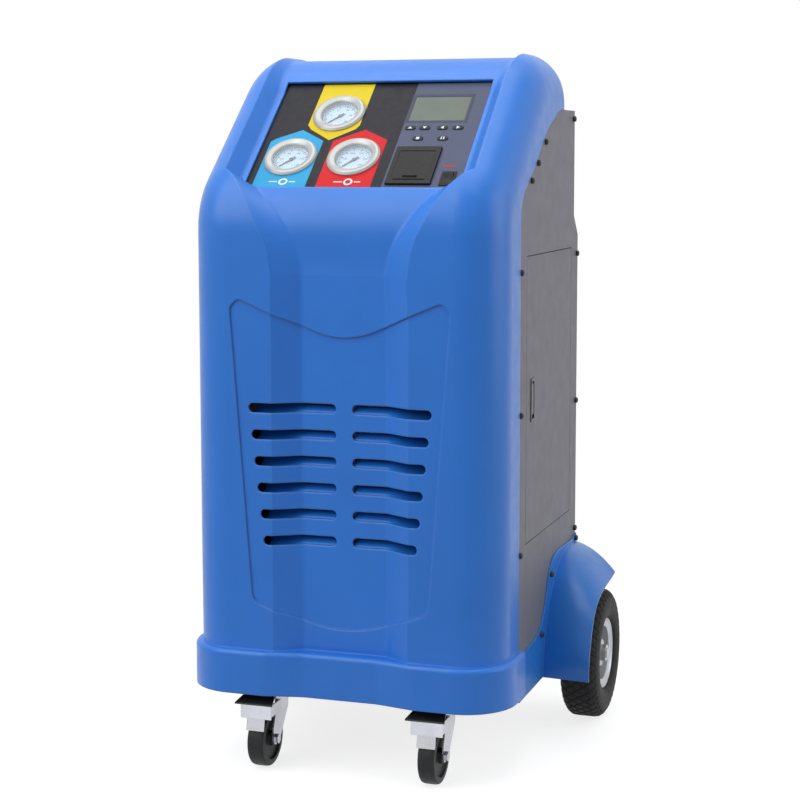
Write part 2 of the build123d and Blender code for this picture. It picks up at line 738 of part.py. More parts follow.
def fender_right():
    """Wheel-arch cover: flat flange on the side panel and a mudguard that flares out over the tyre."""
    t = fender_sheet
    root_x = panel_face_x + 0.1
    root = []
    for degrees in (180, 168, 150, 130, 110, 90, 74):
        angle = math.radians(degrees)
        root.append((axle_y + arch_radius * math.cos(angle), arch_low_z + arch_radius * math.sin(angle)))
    outer = [(-16, arch_low_z), (-13, 168), (2, 206), (34, 250), (74, 269), (120, 278), (211, 288)]

    def band(points, x, shrink):
        low = [(y + shrink * (axle_y - y) / arch_radius, z - shrink * (z - arch_low_z) / arch_radius * 0.9)
               for y, z in points]
        upper = arch_curve(points, x)
        lower = arch_curve(low, x)
        first = Line(upper @ 0, lower @ 0)
        last = Line(upper @ 1, lower @ 1)
        return Wire([upper.edge(), last.edge(), lower.edge(), first.edge()])

    middle = [((a + c) / 2, (b + d) / 2 + 10) for (a, b), (c, d) in zip(root, outer)]
    middle[0] = ((root[0][0] + outer[0][0]) / 2, arch_low_z)
    guard = Solid.make_loft([band(root, root_x, t), band(middle, (root_x + fender_out_x) / 2, t),
                             band(outer, fender_out_x, t)])
    top = [(seam_y + fit, 211), (-74, 214), (-21, 230), (17, 276), (51, 328), (134, 346),
           (rear_lower_y - 2, 350)]
    edge = Spline(*top)
    sides = Polyline(top[-1], (rear_lower_y - 2, arch_low_z), (seam_y + fit, arch_low_z), top[0])
    flange = side_prism(Wire([edge.edge(), *sides.edges()]), root_x, root_x + t)
    inner = [(y + 0.6 * t * (axle_y - y) / arch_radius, z - 0.6 * t * (z - arch_low_z) / arch_radius)
             for y, z in root]
    well = side_prism(Wire(arch_flat(inner)), root_x - 1, root_x + t + 1)
    return guard + (flange - well)


def arch_flat(root):
    """Closed outline below the arch's root, open to the floor."""
    curve = Spline(*root)
    last = root[-1]
    rest = Polyline(last, (500, last[1]), (500, 0), (root[0][0], 0), root[0])
    return [curve.edge(), *rest.edges()]


def caster_plates():
    """Top plates of both casters with their swivel cups and king pins."""
    pieces = []
    for x in (-caster_x, caster_x):
        y = caster_swivel_y
        z = caster_crown_z
        plate = block(x - 42, x + 42, y - 33, y + 33, caster_plate_z, caster_plate_z + 3.2)
        cup = rod(27, (x, y, z + 5.2), (x, y, caster_plate_z))
        pin = rod(caster_pin_radius + 1, (x, y, z - 4), (x, y, caster_plate_z))
        head = rod(11, (x, y, z - 8), (x, y, z - fit))
        pieces.append(plate + cup + pin + head)
    return pieces


def caster_fork(x):
    """Swivel crown, two legs, brake housing and leaf, and the wheel bolt."""
    wheel_y = caster_swivel_y - caster_trail
    crown_top = caster_crown_z + 4.9
    inner = caster_width / 2 + 3
    outer = inner + 3
    crown = block(x - outer, x + outer, caster_swivel_y - 32, caster_swivel_y + 27, caster_crown_z, crown_top)
    crown += rod(30, (x, caster_swivel_y, caster_crown_z), (x, caster_swivel_y, crown_top))
    crown -= rod(caster_pin_radius + 1 + running_fit, (x, caster_swivel_y, 0), (x, caster_swivel_y, 200))
    leg = make_face(FilletPolyline(
        (caster_swivel_y + 27, crown_top), (caster_swivel_y + 24, 96), (wheel_y + 13, 40), (wheel_y - 13, 40),
        (wheel_y - 13, 72), (caster_swivel_y - 34, 100), (caster_swivel_y - 32, crown_top),
        radius=[0, 20, 11, 11, 8, 3, 0], close=True))
    legs = []
    for side in (-1, 1):
        low_x = x - outer if side < 0 else x + inner
        legs.append(extrude(Plane.YZ.offset(low_x) * leg, amount=outer - inner))
    fork = crown + legs
    housing_y = caster_swivel_y - 76
    housing = block(x - 29, x + 29, housing_y, housing_y + 3, 97, 122)
    for side in (-1, 1):
        edge = x + side * 27.5
        housing += block(edge - 1.5, edge + 1.5, housing_y, caster_swivel_y - 26, 101, 122)
        ends = sorted((edge, x + side * (outer - 1)))
        housing += block(*ends, caster_swivel_y - 29, caster_swivel_y - 26, 101, 122)
    leaf_line = Polyline((housing_y, 98), (housing_y + 1.5, 98), (housing_y - 3, 76),
                         (housing_y - 4.5, 76), close=True)
    leaf = side_prism(leaf_line, x - 17, x + 17)
    pivot = rod(2.5, (x - 29, pedal_pivot_y, pedal_pivot_z - 9), (x + 29, pedal_pivot_y, pedal_pivot_z - 9))
    fork = fork + housing + leaf + pivot
    bore_radius = caster_pin_radius + running_fit
    bore = rod(bore_radius, (x - 60, wheel_y, caster_radius), (x + 60, wheel_y, caster_radius))
    fork -= bore
    hexes = []
    for side in (-1, 1):
        start = x + side * (outer + 0.1)
        place = Plane(origin=(start, wheel_y, caster_radius), z_dir=(side, 0, 0))
        hexes.append(extrude(place * RegularPolygon(9, 6), amount=5))
    end = outer + 3
    bolt = rod(caster_pin_radius, (x - end, wheel_y, caster_radius), (x + end, wheel_y, caster_radius))
    return fork, bolt + hexes


def caster_wheel(x):
    """Solid rubber wheel with a rounded tread and a dished hub."""
    w = caster_width / 2
    hub = caster_pin_radius
    r = caster_radius
    outline = make_face(FilletPolyline(
        (hub + running_fit, -w - 2.5), (hub + 7, -w - 2.5), (hub + 8, -w + 5), (r - 15, -w + 5),
        (r - 12, -w), (r - 1, -w + 1), (r, -w / 2), (r, w / 2), (r - 1, w - 1), (r - 12, w),
        (r - 15, w - 5), (hub + 8, w - 5), (hub + 7, w + 2.5), (hub + running_fit, w + 2.5),
        radius=[0, 1, 2, 3, 2, 4, 4, 4, 4, 2, 3, 2, 1, 0], close=True))
    solid = revolve(Plane.XZ * outline, axis=Axis.Z)
    return Plane(origin=(x, caster_swivel_y - caster_trail, caster_radius), z_dir=(1, 0, 0)).location * solid


def caster_pedal(x):
    """Foot pedal of the brake, on a cross pin in the housing, widening to its front lip."""
    ends = []
    for half, y, z in ((25, pedal_pivot_y + 21, 142), (36, pedal_pivot_y - 29, 127.5)):
        corners = [(x - half, y, z), (x + half, y, z), (x + half, y, z - 3), (x - half, y, z - 3)]
        ends.append(Wire(Polyline(*corners, close=True).edges()))
    plate = Solid.make_loft(ends, ruled=True)
    ears = []
    for side in (-1, 1):
        low = pedal_pivot_z - 14
        ear = Polyline((pedal_pivot_y + 9, 136.5), (pedal_pivot_y - 9, 131.5),
                       (pedal_pivot_y - 5, low), (pedal_pivot_y + 5, low), close=True)
        edge = x + side * 21 - 2
        ears.append(side_prism(ear, edge, edge + 4))
    pin_z = pedal_pivot_z - 9
    hole = rod(2.5 + running_fit, (x - 40, pedal_pivot_y, pin_z), (x + 40, pedal_pivot_y, pin_z))
    return plate + ears - hole


save("upright_frame", upright_frame())
save("equipment_shelf", equipment_shelf())
save("push_handle", push_handle())
arch_right = fender_right()
save("fender_right", arch_right)
save("fender_left", mirror(arch_right, about=Plane.YZ))
save("caster_plates", *caster_plates())
for side, word in ((-1, "left"), (1, "right")):
    x = side * caster_x
    fork, bolt = caster_fork(x)
    save("caster_fork_" + word, fork, bolt)
    save("caster_wheel_" + word, caster_wheel(x))
    save("caster_pedal_" + word, caster_pedal(x))


def on_console(u, v, w=0.0):
    """Place on the console face: u along it to the right, v up the slope, w outwards."""
    return console_plane * Pos(u, v, w)


def slab(place, size, low, high):
    """Rectangular piece of the console, from depth low to depth high, centred on place."""
    u, v = place
    return on_console(u, v, (low + high) / 2) * Box(size[0], size[1], high - low)


def oval(place, length, width, low, high):
    """Round-ended piece of the console, from depth low to depth high."""
    return extrude(on_console(*place, low) * SlotOverall(length, width), amount=high - low)


def ring_solid(place, profile):
    """Turned piece of the console about the normal through place: (radius, depth) outline."""
    face = Plane.XZ * make_face(Polyline(*profile, close=True))
    return on_console(*place) * revolve(face, axis=Axis.Z)


def console_panels():
    """Dark instrument plate on the left and grey keypad plate on the right, both set on the cover's ledge."""
    half_w = window_half_width - fit
    half_h = window_half_height - fit
    left_size = (keypad_edge - 0.2 + half_w, 2 * half_h)
    right_size = (half_w - keypad_edge, 2 * half_h)
    left = slab(((keypad_edge - 0.2 - half_w) / 2, 0), left_size, -panel_thickness + fit, 0)
    right = slab(((keypad_edge + half_w) / 2, 0), right_size, -panel_thickness + fit, 0)
    for place in gauge_places.values():
        left -= oval(place, 2 * gauge_case_radius + 0.61, 2 * gauge_case_radius + 0.6, -10, 10)
    for place in key_places:
        right -= oval(place, key_length + 2 * fit, key_width + 2 * fit, -10, 10)
    right -= slab(lcd_place, (lcd_size[0] + 2 * fit, lcd_size[1] + 2 * fit), -10, 10)
    right -= slab(printer_place, (printer_size[0] - 8, printer_size[1] - 8), -10, 10)
    right -= slab(rocker_place, (rocker_size[0] - 3, rocker_size[1] - 3), -10, 10)
    return left, right


def gauge_bodies():
    """Three gauge housings: broad bezel before the panel, cup behind it and the connection at its back."""
    bodies = []
    for place in gauge_places.values():
        profile = [(0.01, -gauge_depth), (gauge_case_radius - 2, -gauge_depth),
                   (gauge_case_radius, -gauge_depth + 3), (gauge_case_radius, fit),
                   (gauge_ring_radius, fit), (gauge_ring_radius, 2.5),
                   (gauge_ring_radius - 3, 5.5), (gauge_ring_radius - 7, 6.5), (gauge_dial_radius + 2, 4),
                   (gauge_dial_radius, 2), (gauge_dial_radius, -7), (0.01, -7)]
        body = ring_solid(place, profile)
        body += ring_solid(place, [(0.01, -gauge_depth - 14), (7, -gauge_depth - 14), (7, -gauge_depth),
                                   (0.01, -gauge_depth)])
        hole_radius = 1.5 + running_fit
        spindle_hole = ring_solid(place, [(0.0, -9), (hole_radius, -9), (hole_radius, 0), (0.0, 0)])
        bodies.append(body - spindle_hole)
    return bodies


def gauge_dials():
    """Three printed dial plates at the bottom of the gauge cups."""
    profile = [(2.5, -6.9), (gauge_dial_radius - 0.2, -6.9), (gauge_dial_radius - 0.2, -6.1), (2.5, -6.1)]
    return [ring_solid(place, profile) for place in gauge_places.values()]


def gauge_lenses():
    """Three clear windows held in the bezels."""
    profile = [(0.0, -0.6), (gauge_dial_radius - 0.15, -0.6), (gauge_dial_radius - 0.15, 1.2), (0.0, 1.2)]
    return [ring_solid(place, profile) for place in gauge_places.values()]


def gauge_pointer(place):
    """Needle with its tail, hub and spindle, pointing to the low end of the scale."""
    hub = ring_solid(place, [(0.0, -8.5), (1.5, -8.5), (1.5, -5.6), (3.5, -5.6), (3.5, -3.4), (0.0, -3.4)])
    blade = Polyline((-2.2, -9), (2.2, -9), (0.5, 26), (-0.5, 26), close=True)
    needle = extrude(on_console(*place, -5.4) * Rot(0, 0, pointer_rest) * make_face(blade), amount=1.2)
    return hub + needle


def lcd_display():
    """Display module in its window, on the circuit board that also carries the key switches."""
    glass = slab(lcd_place, lcd_size, -7.3, -0.4)
    board_u = (keypad_edge + window_half_width) / 2
    board = slab((board_u - 10, 44), (118, 150), board_depth - 1.6, board_depth)
    frame = slab(lcd_place, (lcd_size[0] + 6, lcd_size[1] + 6), board_depth, -panel_thickness)
    frame -= slab(lcd_place, (lcd_size[0] - 1, lcd_size[1] - 1), board_depth - 1, 0)
    return [glass, board, frame - glass]


def key_cap(place):
    """Keypad button with the flange that keeps it behind the panel."""
    cap = fillet(oval(place, key_length, key_width, -4.6, 1.6).faces().sort_by(out_axis)[-1].edges(), 0.8)
    return cap + oval(place, key_length + 3, key_width + 3, -4.6, -panel_thickness)


def printer_body():
    """Printer housing: flange on the panel, box behind it and the paper bay."""
    u, v = printer_place
    w, h = printer_size
    flange = slab(printer_place, printer_size, 0.1, lid_top + 0.2)
    box = slab(printer_place, (w - 9, h - 9), -46, 3)
    bay = slab((u, v + 2), (60, 62), -43, 10)
    lid_seat = slab((u, v + 2), (66, 70), 1.2, 10)
    slot = slab((u, v - 38), (58, 2.5), -20, 10)
    roll_ends = [slab((u + side * 29.0, v + 2), (4, 9), -24, -14) for side in (-1, 1)]
    bore = roll_spindle(running_fit, 40)
    stud_holes = lid_hinge(lid_stud_radius + running_fit, 36)
    return flange + box - bay - lid_seat - slot + (Part() + roll_ends) - bore - stud_holes


def lid_hinge(radius, half_length):
    """Round bar on the hinge line of the printer lid."""
    u, v = printer_place
    end = on_console(u - half_length, v + lid_hinge_up, lid_hinge_out)
    plane = Plane(origin=end.position, z_dir=(1, 0, 0))
    return extrude(plane * Circle(radius), amount=2 * half_length)


def roll_spindle(extra, half_length):
    """Spindle of the paper roll, across the printer bay."""
    u, v = printer_place
    plane = Plane(origin=on_console(u - half_length, v + 2, -19).position, z_dir=(1, 0, 0))
    return extrude(plane * Circle(2.5 + extra), amount=2 * half_length)


def paper_roll():
    """Paper roll on its spindle."""
    u, v = printer_place
    plane = Plane(origin=on_console(u - 26, v + 2, -19).position, z_dir=(1, 0, 0))
    paper = extrude(plane * (Circle(17) - Circle(2.5)), amount=52)
    return [paper, roll_spindle(0, 30.5)]


def printer_lid():
    """Flap over the paper bay: hinge barrel with two studs along its upper edge, finger ridge below."""
    u, v = printer_place
    half_thick = lid_top - lid_hinge_out
    low = v - 32.7
    high = v + lid_hinge_up
    plate = slab((u, (low + high) / 2), (65.4, high - low), lid_hinge_out - half_thick, lid_top)
    ridge = slab((u, v - 29), (26, 3), lid_top, lid_top + 2)
    return plate + ridge + lid_hinge(half_thick, 32.7) + lid_hinge(lid_stud_radius, 35)


def switch_frame():
    """Bezel and body of the mains rocker switch."""
    w, h = rocker_size
    rim = slab(rocker_place, rocker_size, 0.1, 2)
    body = slab(rocker_place, (w - 3.6, h - 3.6), -22, 2)
    well = slab(rocker_place, (w - 7, h - 7), -10, 10)
    u, v = rocker_place
    plane = Plane(origin=on_console(u - w / 2 + 2, v, -4).position, z_dir=(1, 0, 0))
    pin = extrude(plane * Circle(1.5), amount=w - 4)
    return rim + body - well + pin


def power_rocker():
    """Rocker with a shallow V-shaped face, tipped to OFF."""
    w, h = rocker_size
    u, v = rocker_place
    half = h / 2 - 4.2
    corners = [(-half, 3.6), (0, 1.6), (half, 3.6), (half - 1.5, -1), (5, -6), (-5, -6), (-half + 1.5, -1)]
    outline = make_face(FilletPolyline(*corners, radius=[1, 30, 1, 1, 3, 3, 1], close=True))
    pivot = on_console(u, v, -4)
    solid = extrude(Plane.YZ.offset(-(w - 8) / 2) * Pos(0, 4) * outline, amount=w - 8)
    solid -= extrude(Plane.YZ.offset(-w) * Circle(1.5 + running_fit), amount=2 * w)
    return pivot * Rot(rocker_tilt, 0, 0) * solid


instrument_panel, keypad_panel = console_panels()
save("console_panel", instrument_panel)
save("keypad_panel", keypad_panel)
save("gauge_bodies", *gauge_bodies())
save("gauge_dials", *gauge_dials())
save("gauge_lenses", *gauge_lenses())
for word, place in gauge_places.items():
    save("gauge_pointer_" + word, gauge_pointer(place))
save("lcd_display", *lcd_display())
for number, place in enumerate(key_places, 1):
    save("key_" + str(number), key_cap(place))
save("printer_body", printer_body())
save("printer_lid", printer_lid())
save("paper_roll", *paper_roll())
save("switch_frame", switch_frame())
save("power_rocker", power_rocker())


def upright_turned(x, y, profile):
    """Solid turned about the vertical through (x, y)."""
    return turned(profile, (x, y, 0), (0, 0, 1))


def scale_platform():
    """Weighing platform: foot plate, load cell and the dished plate that the tank stands on."""
    half = platform_half
    foot = block(tank_x - 70, tank_x + 70, tank_place_y - 30, tank_place_y + 30, pan_top, pan_top + 4)
    cell = block(tank_x - 65, tank_x + 65, tank_place_y - 15, tank_place_y + 15, pan_top + 4, scale_top - 5)
    for x in (tank_x - 9, tank_x + 9):
        cell -= rod(6, (x, tank_place_y - 40, pan_top + 14), (x, tank_place_y + 40, pan_top + 14))
    place = Pos(tank_x, tank_place_y, 0)
    plate = place * block(-half, half, -half, half, scale_top - 5, scale_top + 10)
    plate -= place * block(3 - half, half - 3, 3 - half, half - 3, scale_top, scale_top + 20)
    return foot + cell + plate


def storage_tank():
    """Steel cylinder with domed ends and foot ring, and the valve block with two hand wheels on its top."""
    z0 = scale_top + fit
    r = tank_radius
    dome = tank_dome
    low = z0 + 22
    high = z0 + tank_height
    side_line = FilletPolyline((0, low), (r - 30, low), (r, low + dome), (r, high - dome), (r - 30, high),
                               (0, high), radius=[30, 24, 24, 30], close=False)
    outline = make_face(side_line.edges() + Line((0, high), (0, low)).edges())
    vessel = revolve(Plane.XZ * outline, axis=Axis.Z)
    wall = tank_wall
    vessel -= turned([(0, z0 + 22 + wall), (r - 32, z0 + 22 + wall), (r - wall, z0 + 24 + dome),
                      (r - wall, z0 + tank_height - dome - 2), (r - 32, z0 + tank_height - wall),
                      (0, z0 + tank_height - wall)], (0, 0, 0), (0, 0, 1))
    ring = turned([(r - 22, z0), (r - 18, z0), (r - 18, z0 + 60), (r - 22, z0 + 60)], (0, 0, 0), (0, 0, 1))
    neck = turned([(0, z0 + tank_height - 6), (20, z0 + tank_height - 6), (20, z0 + tank_height + 16),
                   (0, z0 + tank_height + 16)], (0, 0, 0), (0, 0, 1))
    top = z0 + tank_height + 16
    block_body = block(-32, 32, -16, 16, top, top + 26)
    wheels = []
    for side in (-1, 1):
        stem = rod(4, (side * 32, 0, top + 13), (side * 46, 0, top + 13))
        seat = Plane(origin=(side * 44, 0, top + 13), z_dir=(side, 0, 0))
        knob = extrude(seat * RegularPolygon(15, 8), amount=12)
        wheels.append(stem + knob)
    place = Pos(tank_x, tank_place_y, 0)
    return place * (vessel + ring + neck), [place * (block_body + wheels)]


def compressor():
    """Hermetic compressor: domed shell, base plate, four rubber feet and two stub pipes."""
    z0 = pan_top
    feet = []
    for dx in (-70, 70):
        for dy in (-60, 60):
            profile = [(0, z0), (13, z0), (10, z0 + 8), (13, z0 + 16), (0, z0 + 16)]
            feet.append(upright_turned(comp_x + dx, comp_y + dy, profile))
    plate = block(comp_x - 88, comp_x + 88, comp_y - 75, comp_y + 75, z0 + 16, z0 + 19)
    r = comp_radius
    top = z0 + comp_height
    side_line = FilletPolyline((0, z0 + 19), (r - 6, z0 + 19), (r, z0 + 45), (r, top - 30), (0, top),
                               radius=[10, 20, 42], close=False)
    shell_outline = make_face(side_line.edges() + Line((0, top), (0, z0 + 19)).edges())
    shell = Pos(comp_x, comp_y, 0) * revolve(Plane.XZ * shell_outline, axis=Axis.Z)
    seam_z = z0 + 104
    seam_profile = [(r - 4, seam_z), (r + 4, seam_z), (r + 4, seam_z + 6), (r - 4, seam_z + 6)]
    seam = upright_turned(comp_x, comp_y, seam_profile)
    pipes = [rod(5, (comp_x - 40, comp_y + 30, z0 + 150), (comp_x - 40, comp_y + 30, z0 + 225)),
             rod(4, (comp_x + 35, comp_y + 35, z0 + 150), (comp_x + 35, comp_y + 35, z0 + 215))]
    return shell + seam + plate + feet + pipes


def vacuum_pump():
    """Vacuum pump: finned motor on a foot, oil case with sight glass and exhaust stack."""
    z0 = pan_top
    axis_z = z0 + pump_axis_height
    motor = rod(pump_motor_radius, (pump_x - 20, pump_y, axis_z), (pump_x + 105, pump_y, axis_z))
    for index in range(8):
        x = pump_x - 10 + index * 13
        groove = rod(pump_motor_radius + 4, (x, pump_y, axis_z), (x + 5, pump_y, axis_z))
        motor -= groove - rod(pump_motor_radius - 4, (x, pump_y, axis_z), (x + 5, pump_y, axis_z))
    case = block(pump_x - 92, pump_x - 20, pump_y - 52, pump_y + 52, z0 + 22, z0 + 130)
    case = fillet(case.edges().filter_by(Axis.X), 16)
    glass = rod(14, (pump_x - 40, pump_y - 55, z0 + 60), (pump_x - 40, pump_y - 40, z0 + 60))
    stack = rod(13, (pump_x - 56, pump_y, z0 + 125), (pump_x - 56, pump_y, z0 + 165))
    foot = block(pump_x - 80, pump_x + 80, pump_y - 45, pump_y + 45, z0, z0 + 6)
    legs = []
    for x in (pump_x - 60, pump_x + 50):
        legs.append(block(x - 8, x + 8, pump_y - 30, pump_y + 30, z0 + 6, z0 + 40))
    return motor + case + glass + stack + foot + legs


def condenser():
    """Finned coil between two end plates that stand on the base pan."""
    pieces = block(-coil_half, coil_half, coil_y + 4, coil_y + coil_depth - 4, coil_low, coil_high)
    rows = 24
    step = (coil_high - coil_low) / rows
    for index in range(rows):
        z = coil_low + (index + 0.35) * step
        pieces -= block(-coil_half + 4, coil_half - 4, coil_y, coil_y + 9, z, z + step * 0.5)
    for side in (-1, 1):
        ends = sorted((side * coil_half, side * (coil_half + sheet)))
        pieces += block(*ends, coil_y, coil_y + coil_depth, pan_top, coil_high + 6)
    return pieces


def fan_shroud():
    """Square shroud with a round mouth behind the coil, three arms and the fan motor."""
    y0 = coil_y + coil_depth + fit
    plate = block(-coil_half - 2, coil_half + 2, y0, y0 + 2, coil_low, coil_high)
    mouth = rod(fan_radius + 5, (0, y0 - 5, fan_z), (0, y0 + 40, fan_z))
    collar = rod(fan_radius + 7, (0, y0, fan_z), (0, y0 + 28, fan_z)) - mouth
    y_motor = y0 + 36
    motor = rod(30, (0, y_motor, fan_z), (0, y_motor + 34, fan_z))
    arms = []
    for degrees in (90, 210, 330):
        angle = math.radians(degrees)
        reach = fan_radius + 6
        far = (reach * math.cos(angle), y_motor + 9, fan_z + reach * math.sin(angle))
        arms.append(rod(3, (0, y_motor + 9, fan_z), far))
        arms.append(rod(4, (far[0], y0 + 20, far[2]), (far[0], y_motor + 13.5, far[2])))
    shaft = rod(4, (0, y0 + 14, fan_z), (0, y_motor, fan_z))
    return plate - mouth + collar + motor + arms + shaft


def fan_rotor():
    """Axial fan: hub and five pitched blades."""
    y0 = coil_y + coil_depth + fit + 6
    hub = rod(32, (0, y0 + 4, fan_z), (0, y0 + 22, fan_z))
    bore = rod(4 + running_fit, (0, y0 - 2, fan_z), (0, y0 + 60, fan_z))
    blades = []
    for index in range(fan_blades):
        tip = Plane(origin=(0, y0 + 12, fan_z), x_dir=(0, 1, 0), z_dir=(1, 0, 0))
        root = Solid.make_loft([
            (tip.offset(28) * Rot(0, 0, 12) * Rectangle(2, 34)).face().outer_wire(),
            (tip.offset(fan_radius - 8) * Rot(0, 0, 9) * Rectangle(2, 72)).face().outer_wire(),
        ])
        blades.append(root.rotate(Axis((0, 0, fan_z), (0, 1, 0)), index * 360 / fan_blades))
    return hub + blades - bore


def filter_driers():
    """Two filter cylinders on brackets on the divider, with domed ends and pipe stubs."""
    pieces = []
    for y in (-60.0, 30.0):
        x = divider_x + sheet + 44
        z0 = 720.0
        shape = turned([(0, 0), (14, 0), (36, 14), (36, 130), (14, 144), (0, 144)], (x, y, z0), (0, 0, 1))
        shape += rod(6, (x, y, z0 - 20), (x, y, z0 + 164))
        clamp = block(divider_x + sheet, x, y - 10, y + 10, z0 + 50, z0 + 90)
        clamp += rod(38, (x, y, z0 + 60), (x, y, z0 + 80))
        pieces.append(shape + clamp)
    return pieces


def valve_manifold():
    """Aluminium manifold block with solenoid coils on its face."""
    x0 = divider_x + sheet
    body = block(x0, x0 + 34, 85, 180, 560, 860)
    coils = []
    for index in range(5):
        z = 590 + index * 60
        coils.append(rod(9, (x0 + 34, 132, z), (x0 + 46, 132, z)))
        coils.append(fillet(block(x0 + 46, x0 + 84, 112, 152, z - 19, z + 19).edges().filter_by(Axis.X), 4))
        nut_place = Plane(origin=(x0 + 84, 132, z), z_dir=(1, 0, 0))
        coils.append(extrude(nut_place * RegularPolygon(8, 6), amount=6))
    return body + coils


def oil_bottles():
    """Three oil bottles with caps, standing in the tray."""
    bottles = []
    z0 = tray_z + sheet + fit
    for y in (-88.0, -10.0, 68.0):
        profile = [(0, 0), (30, 0), (32, 4), (32, 105), (22, 122), (15, 126), (15, 132), (19, 132),
                   (19, 150), (0, 150)]
        bottles.append(turned(profile, (divider_x + 38, y, z0), (0, 0, 1)))
    return bottles


def control_box():
    """Sheet-metal box for the control electronics, on the shelf, with a lid fold and cable glands."""
    z0 = rail_z + post_size / 2 + sheet
    box = block(-190, 60, -20, 150, z0, z0 + 90)
    box -= block(-188, 58, -18, 148, z0 + 2, z0 + 88)
    lid = block(-193, 63, -23, 153, z0 + 84, z0 + 93) - block(-188, 58, -18, 148, z0 + 80, z0 + 91)
    glands = [rod(9, (x, -34, z0 + 35), (x, -20, z0 + 35)) for x in (-150, -110, -70, -30)]
    return box + lid + glands


def service_ports():
    """Two flare fittings for the low and high side hoses, in the rear sheet."""
    ports = []
    for x in port_x:
        y = rear_lower_y
        hexagon_place = Plane(origin=(x, y + fit, port_z), z_dir=(0, 1, 0))
        hexagon = extrude(hexagon_place * RegularPolygon(13, 6), amount=9)
        body = rod(port_body_radius, (x, y - 22, port_z), (x, y + fit, port_z))
        nut = extrude(Plane(origin=(x, y - 12, port_z), z_dir=(0, 1, 0)) * RegularPolygon(13, 6), amount=10.2)
        thread_y = y + fit + 9
        thread = rod(port_thread_radius, (x, thread_y, port_z), (x, thread_y + port_thread_length, port_z))
        bore = rod(2.4, (x, y - 40, port_z), (x, y + 60, port_z))
        ports.append(hexagon + body + nut + thread - bore)
    return ports


def power_inlet():
    """Mains inlet socket with its flange and three pins."""
    y = rear_lower_y
    x = inlet_x
    z = inlet_z
    w, h = inlet_cut
    flange = block(x - 25, x + 25, y + 0.1, y + 3, z - 14, z + 14)
    body = block(x - w / 2 + fit, x + w / 2 - fit, y - 22, y + 3, z - h / 2 + fit, z + h / 2 - fit)
    well = block(x - 12, x + 12, y - 16, y + 10, z - 8, z + 8)
    pins = []
    for dx, dz in ((-7, -2), (0, 2), (7, -2)):
        pins.append(block(x + dx - 1, x + dx + 1, y - 17, y - 2, z + dz - 2, z + dz + 2))
    return flange + body - well + pins


def screw_head(point, outward, radius=4.5, height=2.6):
    """Pan-head screw seated at point."""
    foot = Vector(*point) + Vector(*outward) * 0.1
    outline = [(0, 0), (radius, 0), (radius, height * 0.45), (radius * 0.7, height), (0, height)]
    return turned(outline, (foot.X, foot.Y, foot.Z), outward)


def body_screws():
    """Screws of both side panels and both wheel-arch covers."""
    screws = []
    for side in (-1, 1):
        x = side * panel_face_x
        for y, z in panel_screw_places:
            screws.append(screw_head((x, y, z), (side, 0, 0)))
        for y, z in fender_screw_places:
            screws.append(screw_head((x + side * (fender_sheet + 0.1), y, z), (side, 0, 0)))
    return screws


save("scale_platform", scale_platform())
tank, tank_valves = storage_tank()
save("storage_tank", tank, *tank_valves)
save("compressor", compressor())
save("vacuum_pump", vacuum_pump())
save("condenser", condenser())
save("fan_shroud", fan_shroud())
save("fan_rotor", fan_rotor())
save("filter_driers", *filter_driers())
save("valve_manifold", valve_manifold())
save("oil_bottles", *oil_bottles())
save("control_box", control_box())
save("service_ports", *service_ports())
save("power_inlet", power_inlet())
save("body_screws", *body_screws())
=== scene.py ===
import bpy
import bmesh
import math
from mathutils import Vector, Matrix


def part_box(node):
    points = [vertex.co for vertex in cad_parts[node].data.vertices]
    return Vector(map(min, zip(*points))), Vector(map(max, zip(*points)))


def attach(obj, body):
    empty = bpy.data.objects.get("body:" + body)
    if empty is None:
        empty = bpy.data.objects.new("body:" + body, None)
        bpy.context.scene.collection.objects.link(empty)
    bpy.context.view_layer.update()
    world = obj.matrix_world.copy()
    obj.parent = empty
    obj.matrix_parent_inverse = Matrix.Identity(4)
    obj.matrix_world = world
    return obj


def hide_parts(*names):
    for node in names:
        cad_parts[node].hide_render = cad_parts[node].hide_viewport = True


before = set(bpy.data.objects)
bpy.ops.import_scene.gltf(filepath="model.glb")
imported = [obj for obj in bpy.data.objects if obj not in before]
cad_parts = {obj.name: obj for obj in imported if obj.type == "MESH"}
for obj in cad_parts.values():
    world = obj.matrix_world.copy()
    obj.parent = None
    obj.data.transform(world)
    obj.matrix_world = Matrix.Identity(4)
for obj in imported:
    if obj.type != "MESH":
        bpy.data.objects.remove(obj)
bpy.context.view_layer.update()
ROOT = "machine"

# ---------------------------------------------------------------- materials


def new_material(name):
    mat = bpy.data.materials.new(name)
    mat.use_nodes = True
    nodes = mat.node_tree.nodes
    nodes.clear()
    out = nodes.new("ShaderNodeOutputMaterial")
    bsdf = nodes.new("ShaderNodeBsdfPrincipled")
    mat.node_tree.links.new(bsdf.outputs[0], out.inputs[0])
    return mat, nodes, mat.node_tree.links, bsdf


def noise(nodes, links, coords, scale, detail=3.0, rough=0.5):
    tex = nodes.new("ShaderNodeTexNoise")
    tex.inputs["Scale"].default_value = scale
    tex.inputs["Detail"].default_value = detail
    tex.inputs["Roughness"].default_value = rough
    links.new(coords, tex.inputs["Vector"])
    return tex.outputs["Fac"]


def ramp(nodes, links, fac, stops):
    node = nodes.new("ShaderNodeValToRGB")
    els = node.color_ramp.elements
    while len(els) < len(stops):
        els.new(0.5)
    for el, (pos, col) in zip(els, stops):
        el.position = pos
        el.color = (*col, 1.0) if len(col) == 3 else col
    links.new(fac, node.inputs[0])
    return node.outputs[0]


